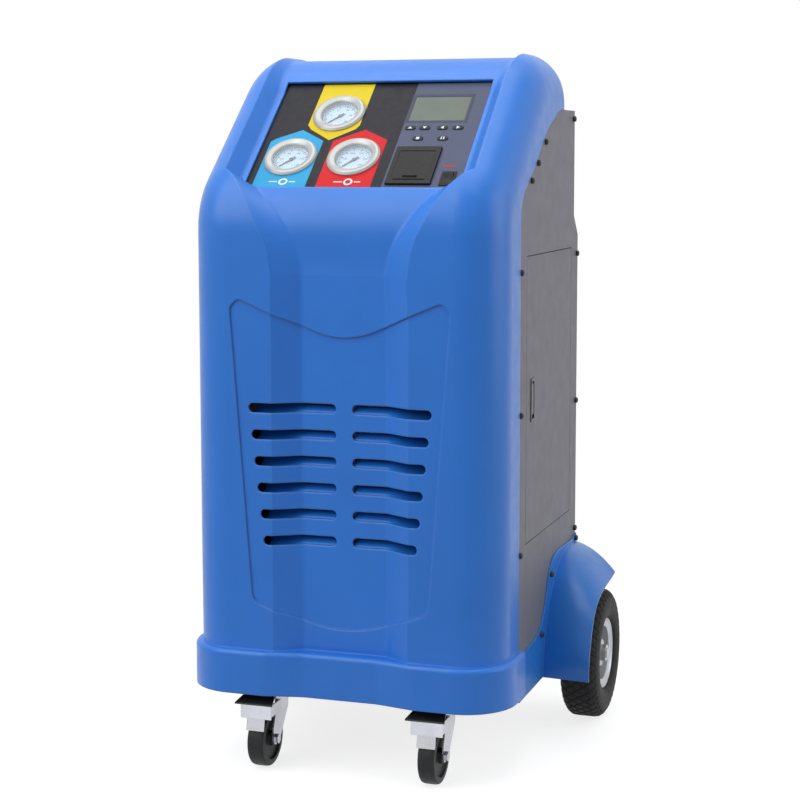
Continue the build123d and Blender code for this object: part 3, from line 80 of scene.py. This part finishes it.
def spread(nodes, links, fac, low, high, from_low=0.3, from_high=0.7):
    node = nodes.new("ShaderNodeMapRange")
    node.inputs["From Min"].default_value = from_low
    node.inputs["From Max"].default_value = from_high
    node.inputs["To Min"].default_value = low
    node.inputs["To Max"].default_value = high
    links.new(fac, node.inputs["Value"])
    return node.outputs[0]


def bump(nodes, links, bsdf, height, strength, distance):
    node = nodes.new("ShaderNodeBump")
    node.inputs["Strength"].default_value = strength
    node.inputs["Distance"].default_value = distance
    links.new(height, node.inputs["Height"])
    links.new(node.outputs[0], bsdf.inputs["Normal"])
    return node


def object_coords(nodes):
    return nodes.new("ShaderNodeTexCoord").outputs["Object"]


def surface(name, color, rough, metallic=0.0, vary=0.08, patch=9.0, grain=900.0, grain_strength=0.08,
            grain_depth=0.0002, rough_vary=0.06, coat=0.0, coat_rough=0.1, specular=0.5, wave=0.0, wave_scale=6.0,
            edge=0.0, highlight_color=(0.3, 0.3, 0.3), highlight_mix=0.4):
    """Surface with slow colour drift, uneven gloss and a fine grain.
    edge is the radius to which its corners look rounded, in metres; along these corners the colour is painted lighter,
    a painted highlight."""
    mat, nodes, links, bsdf = new_material(name)
    coords = object_coords(nodes)
    slow = noise(nodes, links, coords, patch, 4.0, 0.55)
    low = tuple(c * (1 - vary) for c in color)
    high = tuple(min(1.0, c * (1 + vary)) for c in color)
    body = ramp(nodes, links, slow, [(0.32, low), (0.68, high)])
    if edge:
        rounded = nodes.new("ShaderNodeBevel")
        rounded.samples = 4
        rounded.inputs["Radius"].default_value = edge
        flat = nodes.new("ShaderNodeNewGeometry")
        turn = nodes.new("ShaderNodeVectorMath")
        turn.operation = "DOT_PRODUCT"
        links.new(rounded.outputs[0], turn.inputs[0])
        links.new(flat.outputs["Normal"], turn.inputs[1])
        # painted highlight: the colour is lightened along corners, where the bevelled normal leans away from the face
        # normal
        edge_highlight = nodes.new("ShaderNodeMix")
        edge_highlight.data_type = "RGBA"
        links.new(spread(nodes, links, turn.outputs["Value"], highlight_mix, 0.0, 0.88, 0.995), edge_highlight.inputs["Factor"])
        links.new(body, edge_highlight.inputs["A"])
        edge_highlight.inputs["B"].default_value = (*highlight_color, 1)
        body = edge_highlight.outputs["Result"]
    links.new(body, bsdf.inputs["Base Color"])
    mid = noise(nodes, links, coords, patch * 7, 3.0, 0.6)
    links.new(spread(nodes, links, mid, rough - rough_vary, rough + rough_vary), bsdf.inputs["Roughness"])
    fine = noise(nodes, links, coords, grain, 2.0, 0.5)
    node = bump(nodes, links, bsdf, fine, grain_strength, grain_depth)
    if wave:
        broad = noise(nodes, links, coords, wave_scale, 1.0, 0.4)
        second = nodes.new("ShaderNodeBump")
        second.inputs["Strength"].default_value = wave
        second.inputs["Distance"].default_value = 0.004
        links.new(broad, second.inputs["Height"])
        links.new(second.outputs[0], node.inputs["Normal"])
        node = second
    if edge:
        links.new(rounded.outputs[0], node.inputs["Normal"])
    bsdf.inputs["Metallic"].default_value = metallic
    bsdf.inputs["Specular IOR Level"].default_value = specular
    if coat:
        bsdf.inputs["Coat Weight"].default_value = coat
        bsdf.inputs["Coat Roughness"].default_value = coat_rough
    return mat


BLUE = (0.016, 0.170, 0.625)
# the edge colours of the two blue paints below are painted highlights along their corners
blue_cover = surface("blue_moulding", BLUE, 0.36, vary=0.05, patch=5.0, grain=1400, grain_strength=0.05,
                     rough_vary=0.05, coat=0.12, coat_rough=0.30, specular=0.4, wave=0.14, wave_scale=5.0,
                     edge=0.005, highlight_color=(0.10, 0.30, 0.78), highlight_mix=0.55)
blue_fender = surface("blue_arch", (0.018, 0.172, 0.580), 0.34, vary=0.05, patch=7.0, grain=1200,
                      grain_strength=0.06, coat=0.1, coat_rough=0.25, specular=0.4, wave=0.10, wave_scale=8.0,
                      edge=0.003, highlight_color=(0.10, 0.30, 0.78), highlight_mix=0.4)
# the edge colour of the grey paint is a painted highlight along its corners
grey_paint = surface("grey_textured_paint", (0.150, 0.146, 0.172), 0.50, vary=0.04, patch=4.0, grain=2600,
                     grain_strength=0.25, grain_depth=0.0003, rough_vary=0.05, specular=0.35,
                     edge=0.0012, highlight_color=(0.26, 0.26, 0.30), highlight_mix=0.4)
frame_paint = surface("black_frame_paint", (0.022, 0.022, 0.024), 0.42, vary=0.12, grain=1800, grain_strength=0.15)
handle_paint = surface("black_handle_coat", (0.025, 0.025, 0.027), 0.45, vary=0.12, grain=2000, grain_strength=0.2)
tyre_rubber = surface("tyre_rubber", (0.010, 0.010, 0.011), 0.66, vary=0.2, patch=30, grain=1500,
                      grain_strength=0.2, rough_vary=0.08, specular=0.25)
rim_paint = surface("rim_silver", (0.52, 0.53, 0.56), 0.35, metallic=0.55, vary=0.08, patch=25, grain=1600,
                    grain_strength=0.08)
zinc = surface("zinc_plate", (0.56, 0.57, 0.61), 0.24, metallic=0.95, vary=0.10, patch=14, grain=500,
               grain_strength=0.02, grain_depth=0.00005, rough_vary=0.07)
axle_zinc = surface("axle_zinc", (0.45, 0.45, 0.46), 0.32, metallic=0.95, vary=0.12, patch=30)
caster_rubber = surface("caster_rubber", (0.009, 0.010, 0.011), 0.50, vary=0.2, patch=40, grain=1400,
                        grain_strength=0.15, specular=0.3)
pedal_plastic = surface("pedal_plastic", (0.020, 0.021, 0.024), 0.42, vary=0.15, patch=30, grain=2200,
                        grain_strength=0.15)
latch_plastic = surface("latch_plastic", (0.055, 0.055, 0.060), 0.36, vary=0.1, patch=30, grain=2200,
                        grain_strength=0.12)
console_film = surface("console_film", (0.014, 0.014, 0.019), 0.46, vary=0.08, patch=12, grain=3000,
                       grain_strength=0.1, specular=0.16)
keypad_film = surface("keypad_film", (0.078, 0.090, 0.145), 0.46, vary=0.05, patch=12, grain=3000,
                      grain_strength=0.1, specular=0.16)
ring_satin = surface("gauge_ring_satin", (0.44, 0.45, 0.43), 0.24, metallic=0.25, vary=0.03, patch=20, grain=3500,
                     grain_strength=0.015, grain_depth=0.00005, rough_vary=0.03)
dial_white = surface("dial_card", (0.50, 0.66, 0.82), 0.55, vary=0.05, patch=30, grain=2500, grain_strength=0.03)
pointer_paint = surface("pointer_paint", (0.012, 0.012, 0.013), 0.4, vary=0.1, patch=60, grain=2500)
key_rubber = surface("key_rubber", (0.018, 0.020, 0.030), 0.5, vary=0.12, patch=60, grain=2500, grain_strength=0.1,
                     specular=0.2)
printer_plastic = surface("printer_plastic", (0.010, 0.010, 0.011), 0.46, vary=0.1, patch=25, grain=2300,
                          grain_strength=0.18, specular=0.2)
paper_plain = surface("paper_plain", (0.80, 0.80, 0.77), 0.8, vary=0.03, patch=40, grain=1800, grain_strength=0.1)
switch_plastic = surface("switch_plastic", (0.006, 0.006, 0.007), 0.4, vary=0.12, patch=50, grain=2300, specular=0.2)
tank_paint = surface("tank_paint", (0.36, 0.38, 0.41), 0.38, vary=0.06, patch=8, grain=1500)
scale_alu = surface("platform_metal", (0.50, 0.50, 0.52), 0.35, metallic=0.9, vary=0.08, patch=15)
compressor_paint = surface("compressor_paint", (0.015, 0.015, 0.016), 0.3, vary=0.1, patch=12)
pump_cast = surface("pump_casting", (0.25, 0.26, 0.28), 0.5, metallic=0.6, vary=0.1, patch=14, grain=700,
                    grain_strength=0.3)
coil_alu = surface("coil_fins", (0.50, 0.51, 0.52), 0.4, metallic=0.85, vary=0.08, patch=20)
fan_plastic = surface("fan_plastic", (0.02, 0.02, 0.022), 0.45, vary=0.1, patch=20)
filter_paint = surface("filter_paint", (0.03, 0.10, 0.07), 0.35, vary=0.08, patch=20)
manifold_alu = surface("manifold_metal", (0.45, 0.46, 0.48), 0.35, metallic=0.9, vary=0.08, patch=20)
bottle_plastic = surface("bottle_plastic", (0.62, 0.62, 0.56), 0.45, vary=0.05, patch=20)
box_zinc = surface("box_metal", (0.42, 0.43, 0.44), 0.38, metallic=0.8, vary=0.12, patch=18)
brass = surface("fitting_brass", (0.55, 0.38, 0.12), 0.28, metallic=0.95, vary=0.1, patch=60)
inlet_plastic = surface("inlet_plastic", (0.014, 0.014, 0.015), 0.4, vary=0.1, patch=50)
screw_paint = surface("screw_black", (0.012, 0.012, 0.013), 0.35, metallic=0.3, vary=0.15, patch=90)


def glass_material(name, tint, alpha):
    mat, nodes, links, bsdf = new_material(name)
    coords = object_coords(nodes)
    fine = noise(nodes, links, coords, 300, 2.0)
    links.new(spread(nodes, links, fine, 0.04, 0.09), bsdf.inputs["Roughness"])
    bsdf.inputs["Base Color"].default_value = (*tint, 1)
    bsdf.inputs["Alpha"].default_value = alpha
    bsdf.inputs["IOR"].default_value = 1.45
    bump(nodes, links, bsdf, fine, 0.02, 0.0001)
    return mat


lens_clear = glass_material("gauge_window", (0.85, 0.93, 0.97), 0.12)


def lcd_material():
    mat, nodes, links, bsdf = new_material("display_glass")
    coords = object_coords(nodes)
    slow = noise(nodes, links, coords, 14, 2.0)
    links.new(ramp(nodes, links, slow, [(0.3, (0.085, 0.110, 0.085)), (0.7, (0.105, 0.132, 0.104))]),
              bsdf.inputs["Base Color"])
    fine = noise(nodes, links, coords, 500, 2.0)
    links.new(spread(nodes, links, fine, 0.10, 0.16), bsdf.inputs["Roughness"])
    bsdf.inputs["Specular IOR Level"].default_value = 0.3
    bump(nodes, links, bsdf, fine, 0.02, 0.0001)
    return mat


lcd_glass = lcd_material()

looks = {
    "front_cover": blue_cover, "side_panel_right": grey_paint, "side_panel_left": grey_paint,
    "service_door": grey_paint, "latch_body": latch_plastic, "latch_lever": latch_plastic, "rear_panel": grey_paint,
    "base_pan": frame_paint, "rear_axle": axle_zinc, "rim_left": rim_paint, "rim_right": rim_paint,
    "tyre_left": tyre_rubber, "tyre_right": tyre_rubber, "upright_frame": frame_paint,
    "equipment_shelf": frame_paint, "push_handle": handle_paint, "fender_right": blue_fender,
    "fender_left": blue_fender, "caster_plates": zinc, "caster_fork_left": zinc, "caster_fork_right": zinc,
    "caster_wheel_left": caster_rubber, "caster_wheel_right": caster_rubber, "caster_pedal_left": pedal_plastic,
    "caster_pedal_right": pedal_plastic, "console_panel": console_film, "keypad_panel": keypad_film,
    "gauge_bodies": ring_satin, "gauge_dials": dial_white, "gauge_lenses": lens_clear,
    "gauge_pointer_vacuum": pointer_paint, "gauge_pointer_low": pointer_paint, "gauge_pointer_high": pointer_paint,
    "lcd_display": lcd_glass, "printer_body": printer_plastic, "printer_lid": printer_plastic,
    "paper_roll": paper_plain, "switch_frame": switch_plastic, "power_rocker": switch_plastic,
    "scale_platform": scale_alu, "storage_tank": tank_paint, "compressor": compressor_paint,
    "vacuum_pump": pump_cast, "condenser": coil_alu, "fan_shroud": fan_plastic, "fan_rotor": fan_plastic,
    "filter_driers": filter_paint, "valve_manifold": manifold_alu, "oil_bottles": bottle_plastic,
    "control_box": box_zinc, "service_ports": brass, "power_inlet": inlet_plastic, "body_screws": screw_paint,
}
for number in range(1, 7):
    looks[f"key_{number}"] = key_rubber
for node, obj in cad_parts.items():
    for slot in obj.material_slots:
        slot.material = looks[node]

# ---------------------------------------------------------------- console print

SLOPE_Y, SLOPE_Z = 0.7547, 0.6561
ORIGIN = Vector((0, -0.155, 1.176)) - 0.0208 * Vector((0, SLOPE_Y, SLOPE_Z)) \
    - 0.0376 * Vector((0, -SLOPE_Z, SLOPE_Y))
UP = Vector((0, SLOPE_Y, SLOPE_Z)).normalized()
OUT = Vector((0, -SLOPE_Z, SLOPE_Y)).normalized()


def con(u, v, w=0.0):
    """Point of the console in millimetres across, up the slope and outwards."""
    return ORIGIN + Vector((u / 1000, 0, 0)) + UP * (v / 1000) + OUT * (w / 1000)


def link(obj):
    bpy.context.scene.collection.objects.link(obj)
    return obj


def console_shape(name, loops, low, high, mat, body=ROOT, hole=None):
    """Flat printed piece: closed outlines in console millimetres, raised from low to high.
    hole is the place and radius of a round opening in the first outline."""
    bm = bmesh.new()
    for loop in loops:
        bottom = [bm.verts.new(con(u, v, low)) for u, v in loop]
        top = [bm.verts.new(con(u, v, high)) for u, v in loop]
        count = len(loop)
        for i in range(count):
            j = (i + 1) % count
            bm.faces.new((bottom[i], bottom[j], top[j], top[i]))
        if hole is None:
            bm.faces.new(top)
            bm.faces.new(list(reversed(bottom)))
            continue
        (cu, cv), radius = hole
        steps = 72
        for ring, w in ((top, high), (bottom, low)):
            inner = []
            for k in range(steps):
                angle = 2 * math.pi * k / steps
                inner.append(bm.verts.new(con(cu + radius * math.cos(angle), cv + radius * math.sin(angle), w)))
            edges = [bm.edges.get((ring[i], ring[(i + 1) % count])) for i in range(count)]
            edges += [bm.edges.new((inner[k], inner[(k + 1) % steps])) for k in range(steps)]
            bmesh.ops.triangle_fill(bm, use_beauty=True, edges=edges)
    bmesh.ops.recalc_face_normals(bm, faces=bm.faces)
    mesh = bpy.data.meshes.new(name)
    bm.to_mesh(mesh)
    bm.free()
    mesh.materials.append(mat)
    obj = link(bpy.data.objects.new(name, mesh))
    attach(obj, body)
    return obj


def ink(name, color, rough=0.42):
    return surface(name, color, rough, vary=0.04, patch=20, grain=2800, grain_strength=0.06, specular=0.14)


yellow_ink = ink("ink_yellow", (0.66, 0.50, 0.012))
blue_ink = ink("ink_blue", (0.030, 0.330, 0.600))
red_ink = ink("ink_red", (0.58, 0.010, 0.014))
white_ink = ink("ink_white", (0.72, 0.74, 0.76))
dark_ink = ink("ink_dark", (0.015, 0.016, 0.02))
frame_ink = ink("ink_frame", (0.055, 0.062, 0.090))

console_shape("plaque_yellow", [[(-127, 143), (-27, 143), (-27, 26), (-32, 16), (-75, -14), (-118, 16), (-127, 28)]],
              0.02, 0.12, yellow_ink, hole=((-75, 59), 40))
console_shape("plaque_blue", [[(-186, -143), (-85, -143), (-85, -16), (-133, 14), (-178, -10), (-186, -18)]],
              0.13, 0.22, blue_ink, hole=((-135, -61), 40))
console_shape("plaque_red", [[(-66, -143), (36, -143), (36, -14), (-13, 14), (-62, -14), (-66, -18)]],
              0.13, 0.22, red_ink, hole=((-15, -61), 40))

# ---------------------------------------------------------------- gauge scales

GAUGES = {"vacuum": (-75, 59), "low": (-135, -61), "high": (-15, -61)}


def dial_point(place, radius, degrees, w):
    angle = math.radians(90 - degrees)
    return con(place[0] + radius * math.cos(angle), place[1] + radius * math.sin(angle), w)


def dial_marks(word, place):
    bm = bmesh.new()

    def tick(degrees, inner, outer, half):
        angle = math.radians(90 - degrees)
        cu, cv = math.cos(angle), math.sin(angle)
        corners = []
        for r, s in ((inner, -half), (inner, half), (outer, half), (outer, -half)):
            corners.append((place[0] + r * cu - s * cv, place[1] + r * cv + s * cu))
        low = [bm.verts.new(con(u, v, -6.08)) for u, v in corners]
        high = [bm.verts.new(con(u, v, -5.98)) for u, v in corners]
        bm.faces.new(high)
        bm.faces.new(list(reversed(low)))
        for i in range(4):
            j = (i + 1) % 4
            bm.faces.new((low[i], low[j], high[j], high[i]))

    for k in range(55):
        degrees = -135 + 270 * k / 54
        major = k % 6 == 0
        tick(degrees, 24.0 if major else 27.0, 30.0, 0.55 if major else 0.25)
    bmesh.ops.recalc_face_normals(bm, faces=bm.faces)
    mesh = bpy.data.meshes.new("dial_marks_" + word)
    bm.to_mesh(mesh)
    bm.free()
    mesh.materials.append(dark_ink)
    obj = link(bpy.data.objects.new("dial_marks_" + word, mesh))
    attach(obj, ROOT)


for word, place in GAUGES.items():
    dial_marks(word, place)



def numbers_on_dial(word, place, top):
    """Small numerals round a dial, from nought to top."""
    bm = bmesh.new()
    for k in range(6):
        angle = math.radians(225 - 54 * k)
        curve = bpy.data.curves.new("numeral", "FONT")
        curve.body = str(int(top * k / 5))
        curve.size = 0.0062
        curve.align_x = "CENTER"
        curve.align_y = "CENTER"
        curve.extrude = 0.00004
        curve.resolution_u = 3
        holder = bpy.data.objects.new("numeral", curve)
        flat = bpy.data.meshes.new_from_object(holder)
        spot = con(place[0] + 19.5 * math.cos(angle), place[1] + 19.5 * math.sin(angle), -6.03)
        flat.transform(Matrix((((1, 0, 0, spot.x)), (0, UP.y, OUT.y, spot.y), (0, UP.z, OUT.z, spot.z), (0, 0, 0, 1))))
        bm.from_mesh(flat)
        bpy.data.objects.remove(holder)
        bpy.data.curves.remove(curve)
        bpy.data.meshes.remove(flat)
    mesh = bpy.data.meshes.new("numerals_" + word)
    bm.to_mesh(mesh)
    bm.free()
    mesh.materials.append(dark_ink)
    obj = link(bpy.data.objects.new("numerals_" + word, mesh))
    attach(obj, ROOT)


numbers_on_dial("vacuum", GAUGES["vacuum"], 30)
numbers_on_dial("low", GAUGES["low"], 150)
numbers_on_dial("high", GAUGES["high"], 500)


def rect(u, v, w, h):
    return [(u - w / 2, v - h / 2), (u + w / 2, v - h / 2), (u + w / 2, v + h / 2), (u - w / 2, v + h / 2)]


def circle_loop(u, v, radius, count=28):
    return [(u + radius * math.cos(2 * math.pi * k / count), v + radius * math.sin(2 * math.pi * k / count))
            for k in range(count)]


# dark border round the display, coupling symbols under the gauges and a red mark over the switch
LCD_U, LCD_V, LCD_W, LCD_H = 114, 72, 104, 66
console_shape("display_border", [rect(LCD_U, LCD_V + LCD_H / 2 + 3.5, LCD_W + 14, 6),
                                 rect(LCD_U, LCD_V - LCD_H / 2 - 3.5, LCD_W + 14, 6),
                                 rect(LCD_U - LCD_W / 2 - 3.5, LCD_V, 6, LCD_H + 1),
                                 rect(LCD_U + LCD_W / 2 + 3.5, LCD_V, 6, LCD_H + 1)], 0.02, 0.10, frame_ink)
for word, (u, v) in (("low", (-135, -126)), ("high", (-13, -126))):
    marks = [rect(u - 14, v, 16, 2.4), rect(u + 22, v, 12, 2.4)]
    console_shape("coupling_mark_" + word, marks, 0.23, 0.30, white_ink)
    console_shape("coupling_ring_" + word, [circle_loop(u + 5, v, 8.5)], 0.23, 0.30, white_ink)
    console_shape("coupling_eye_" + word, [circle_loop(u + 5, v, 5)], 0.31, 0.36, blue_ink if word == "low" else red_ink)
console_shape("switch_mark", [rect(168, -84, 20, 3.2)], 0.02, 0.10, red_ink)

KEYS = [(71, 18), (98, 18), (131, 18), (160, 18), (92, -11), (138, -11)]
SYMBOLS = [
    [[(-4, -2.6), (4, -2.6), (0, 3.2)]],
    [[(-4, 2.6), (0, -3.2), (4, 2.6)]],
    [[(2.6, -4), (2.6, 4), (-3.2, 0)]],
    [[(-2.6, -4), (3.2, 0), (-2.6, 4)]],
    [rect(0, 0, 6, 6)],
    [rect(-2.2, 0, 2, 7), rect(2.2, 0, 2, 7)],
]


def key_symbols():
    for number, (place, symbol) in enumerate(zip(KEYS, SYMBOLS), 1):
        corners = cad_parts[f"key_{number}"].data.vertices
        top = max((v.co - ORIGIN).dot(OUT) for v in corners) * 1000
        loops = [[(place[0] + u, place[1] + v) for u, v in loop] for loop in symbol]
        console_shape(f"key_symbol_{number}", loops, top - 0.05, top + 0.06, white_ink, body=f"button_{number}")


# ---------------------------------------------------------------- wheels and screws


def tread_depth(angle, x):
    """Depth of the diamond grooves at an angle round the tyre and a distance across it, in millimetres."""
    pitch = 2 * math.pi * 125 / 42
    depth = 0.0
    for slant in (0.75, -0.75):
        place = ((angle * 125 + slant * x) / pitch) % 1.0
        away = abs(place - 0.5) * pitch
        depth = max(depth, min(1.0, max(0.0, (2.4 - away) / 1.0)))
    return depth * 2.6


def treaded_tyre(word):
    """Tyre with raised diamond blocks over its crown and shoulders."""
    node = "tyre_" + word
    low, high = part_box(node)
    mid_x = (low[0] + high[0]) / 2
    centre_y = (low[1] + high[1]) / 2
    centre_z = (low[2] + high[2]) / 2
    outer = (high[2] - low[2]) / 2 * 1000
    w = (high[0] - low[0]) / 2 * 1000
    corners = [(68.6, -w + 10), (74, -w + 4), (84, -w + 0.9), (99, -w), (112, -w + 2.6), (120, -w + 8), (124, -w + 14),
               (outer, -w + 22), (outer, w - 22), (124, w - 14), (120, w - 8), (112, w - 2.6), (99, w), (84, w - 0.9),
               (74, w - 4), (68.6, w - 10)]
    profile = []
    for (r0, x0), (r1, x1) in zip(corners, corners[1:]):
        length = math.hypot(r1 - r0, x1 - x0)
        steps = max(1, round(length / (1.6 if min(r0, r1) > 100 else 3.5)))
        for k in range(steps):
            profile.append((r0 + (r1 - r0) * k / steps, x0 + (x1 - x0) * k / steps))
    profile.append(corners[-1])
    inner = [(66, w - 14), (62, 0), (66, -w + 14)]
    profile += inner
    count = 420
    bm = bmesh.new()
    rings = []
    for i in range(count):
        angle = 2 * math.pi * i / count
        ring = []
        for r, x in profile:
            ease = min(1.0, max(0.0, (r - 104) / 8))
            radius = r - tread_depth(angle, x) * ease
            ring.append(bm.verts.new((mid_x + x / 1000, centre_y + radius / 1000 * math.cos(angle),
                                      centre_z + radius / 1000 * math.sin(angle))))
        rings.append(ring)
    size = len(profile)
    for i in range(count):
        a, b = rings[i], rings[(i + 1) % count]
        for k in range(size):
            n = (k + 1) % size
            bm.faces.new((a[k], b[k], b[n], a[n]))
    bmesh.ops.recalc_face_normals(bm, faces=bm.faces)
    for face in bm.faces:
        face.smooth = True
    mesh = bpy.data.meshes.new("treaded_" + node)
    bm.to_mesh(mesh)
    bm.free()
    mesh.materials.append(tyre_rubber)
    obj = link(bpy.data.objects.new("treaded_" + node, mesh))
    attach(obj, "wheel_" + word)
    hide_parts(node)


def screw_heads():
    """Domed heads with a cross recess over every panel screw."""
    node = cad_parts["body_screws"]
    source = bmesh.new()
    source.from_mesh(node.data)
    left = set(source.verts)
    bm = bmesh.new()
    while left:
        stack = [left.pop()]
        island = []
        while stack:
            vert = stack.pop()
            island.append(vert.co.copy())
            for edge in vert.link_edges:
                other = edge.other_vert(vert)
                if other in left:
                    left.remove(other)
                    stack.append(other)
        xs = [c.x for c in island]
        cy = (min(c.y for c in island) + max(c.y for c in island)) / 2
        cz = (min(c.z for c in island) + max(c.z for c in island)) / 2
        side = 1 if xs[0] > 0 else -1
        foot = min(xs, key=abs)
        spin = (cy * 37 + cz * 53) % 1.6
        rings = []
        for radius, height in ((5.4, 0), (5.6, 0.6), (5.3, 1.5), (4.6, 2.3), (3.7, 2.75), (3.1, 2.9), (2.6, 2.95), (2.1, 3.0),
                               (1.6, 3.0), (1.1, 3.0), (0.7, 3.0), (0.35, 3.0)):
            ring = []
            for k in range(40):
                angle = 2 * math.pi * k / 40
                u, v = radius * math.cos(angle), radius * math.sin(angle)
                deep = 1.3 if radius < 2.8 and min(abs(u), abs(v)) < 0.62 else 0.0
                cu = u * math.cos(spin) - v * math.sin(spin)
                cv = u * math.sin(spin) + v * math.cos(spin)
                ring.append(bm.verts.new((foot + side * (height - deep) / 1000, cy + cu / 1000, cz + cv / 1000)))
            rings.append(ring)
        for a, b in zip(rings, rings[1:]):
            for k in range(40):
                n = (k + 1) % 40
                bm.faces.new((a[k], a[n], b[n], b[k]))
        bm.faces.new(rings[-1])
        bm.faces.new(list(reversed(rings[0])))
    source.free()
    bmesh.ops.recalc_face_normals(bm, faces=bm.faces)
    mesh = bpy.data.meshes.new("screw_heads")
    bm.to_mesh(mesh)
    bm.free()
    mesh.materials.append(screw_paint)
    obj = link(bpy.data.objects.new("screw_heads", mesh))
    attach(obj, ROOT)
    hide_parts("body_screws")


key_symbols()
for word in ("left", "right"):
    treaded_tyre(word)
screw_heads()

# ---------------------------------------------------------------- floor, lights, camera

white_floor, nodes, links, bsdf = new_material("studio_floor")
coords = object_coords(nodes)
slow = noise(nodes, links, coords, 1.5, 2.0)
links.new(ramp(nodes, links, slow, [(0.3, (0.36, 0.36, 0.365)), (0.7, (0.38, 0.38, 0.385))]),
          bsdf.inputs["Base Color"])
bsdf.inputs["Roughness"].default_value = 0.75
bsdf.inputs["Specular IOR Level"].default_value = 0.15
path = nodes.new("ShaderNodeLightPath")
glow = nodes.new("ShaderNodeEmission")
glow.inputs["Color"].default_value = (1, 1, 1, 1)
seen = nodes.new("ShaderNodeMath")
seen.operation = "MULTIPLY"
seen.inputs[1].default_value = 0.78
mirror = nodes.new("ShaderNodeMath")
mirror.operation = "MAXIMUM"
links.new(path.outputs["Is Glossy Ray"], mirror.inputs[0])
links.new(path.outputs["Is Transmission Ray"], mirror.inputs[1])
direct = nodes.new("ShaderNodeMath")
direct.operation = "MAXIMUM"
links.new(path.outputs["Is Camera Ray"], direct.inputs[0])
links.new(mirror.outputs[0], direct.inputs[1])
links.new(direct.outputs[0], seen.inputs[0])
links.new(seen.outputs[0], glow.inputs["Strength"])
both = nodes.new("ShaderNodeAddShader")
links.new(bsdf.outputs[0], both.inputs[0])
links.new(glow.outputs[0], both.inputs[1])
plain = nodes.new("ShaderNodeEmission")
plain.inputs["Color"].default_value = (1, 1, 1, 1)
plain.inputs["Strength"].default_value = 1.0
away = nodes.new("ShaderNodeVectorMath")
away.operation = "LENGTH"
links.new(coords, away.inputs[0])
far = nodes.new("ShaderNodeMapRange")
far.interpolation_type = "SMOOTHSTEP"
far.inputs["From Min"].default_value = 0.75
far.inputs["From Max"].default_value = 1.7
links.new(away.outputs["Value"], far.inputs["Value"])
shown = nodes.new("ShaderNodeMath")
shown.operation = "MULTIPLY"
links.new(far.outputs[0], shown.inputs[0])
links.new(direct.outputs[0], shown.inputs[1])
blended = nodes.new("ShaderNodeMixShader")
links.new(shown.outputs[0], blended.inputs[0])
links.new(both.outputs[0], blended.inputs[1])
links.new(plain.outputs[0], blended.inputs[2])
output = [n for n in nodes if n.type == "OUTPUT_MATERIAL"][0]
links.new(blended.outputs[0], output.inputs[0])

mesh = bpy.data.meshes.new("studio_floor")
bm = bmesh.new()
bmesh.ops.create_circle(bm, cap_ends=True, radius=9.0, segments=96)
bm.to_mesh(mesh)
bm.free()
mesh.materials.append(white_floor)
floor = link(bpy.data.objects.new("studio_floor", mesh))
floor.location.z = -0.0005

world = bpy.data.worlds.new("studio")
bpy.context.scene.world = world
world.use_nodes = True
wn, wl = world.node_tree.nodes, world.node_tree.links
wn.clear()
w_out = wn.new("ShaderNodeOutputWorld")
w_soft = wn.new("ShaderNodeBackground")
w_soft.inputs["Strength"].default_value = 0.52
w_height = wn.new("ShaderNodeSeparateXYZ")
wl.new(wn.new("ShaderNodeTexCoord").outputs["Generated"], w_height.inputs[0])
wl.new(ramp(wn, wl, w_height.outputs["Z"], [(0.0, (0.55, 0.60, 0.68)), (0.75, (0.95, 0.97, 1.0))]),
       w_soft.inputs["Color"])
w_white = wn.new("ShaderNodeBackground")
w_white.inputs["Color"].default_value = (1, 1, 1, 1)
w_white.inputs["Strength"].default_value = 1.0
w_path = wn.new("ShaderNodeLightPath")
w_any = wn.new("ShaderNodeMath")
w_any.operation = "MAXIMUM"
w_mirror = wn.new("ShaderNodeMath")
w_mirror.operation = "MAXIMUM"
wl.new(w_path.outputs["Is Glossy Ray"], w_mirror.inputs[0])
wl.new(w_path.outputs["Is Transmission Ray"], w_mirror.inputs[1])
wl.new(w_path.outputs["Is Camera Ray"], w_any.inputs[0])
wl.new(w_mirror.outputs[0], w_any.inputs[1])
w_mix = wn.new("ShaderNodeMixShader")
wl.new(w_any.outputs[0], w_mix.inputs[0])
wl.new(w_soft.outputs[0], w_mix.inputs[1])
wl.new(w_white.outputs[0], w_mix.inputs[2])
wl.new(w_mix.outputs[0], w_out.inputs[0])


def area(name, place, target, size, power, color=(1, 1, 1)):
    data = bpy.data.lights.new(name, "AREA")
    data.shape = "RECTANGLE"
    data.size, data.size_y = size
    data.energy = power
    data.color = color
    lamp = link(bpy.data.objects.new(name, data))
    lamp.location = place
    lamp.rotation_euler = (Vector(target) - Vector(place)).to_track_quat("-Z", "Y").to_euler()
    return lamp


area("key_softbox", (-1.9, -2.6, 3.0), (0, -0.1, 0.9), (3.0, 3.0), 78)
area("side_softbox", (3.4, 0.4, 1.7), (0.2, 0.1, 0.7), (2.4, 2.6), 31)
area("top_softbox", (0.0, -0.2, 3.4), (0, 0, 1.0), (2.8, 2.8), 44)

camera_data = bpy.data.cameras.new("camera")
camera_data.lens = 1806.2 * 36 / 808
camera_data.sensor_width = 36
camera_data.shift_x = -21.5 / 808
camera_data.shift_y = -0.06
camera = link(bpy.data.objects.new("camera", camera_data))
yaw, pitch = 0.3131, 0.1075
camera.location = (1.0881, -3.2098, 1.0883)
forward = Vector((-math.sin(yaw) * math.cos(pitch), math.cos(yaw) * math.cos(pitch), -math.sin(pitch)))
camera.rotation_euler = forward.to_track_quat("-Z", "Y").to_euler()
bpy.context.scene.camera = camera
bpy.context.scene.view_settings.view_transform = "Standard"
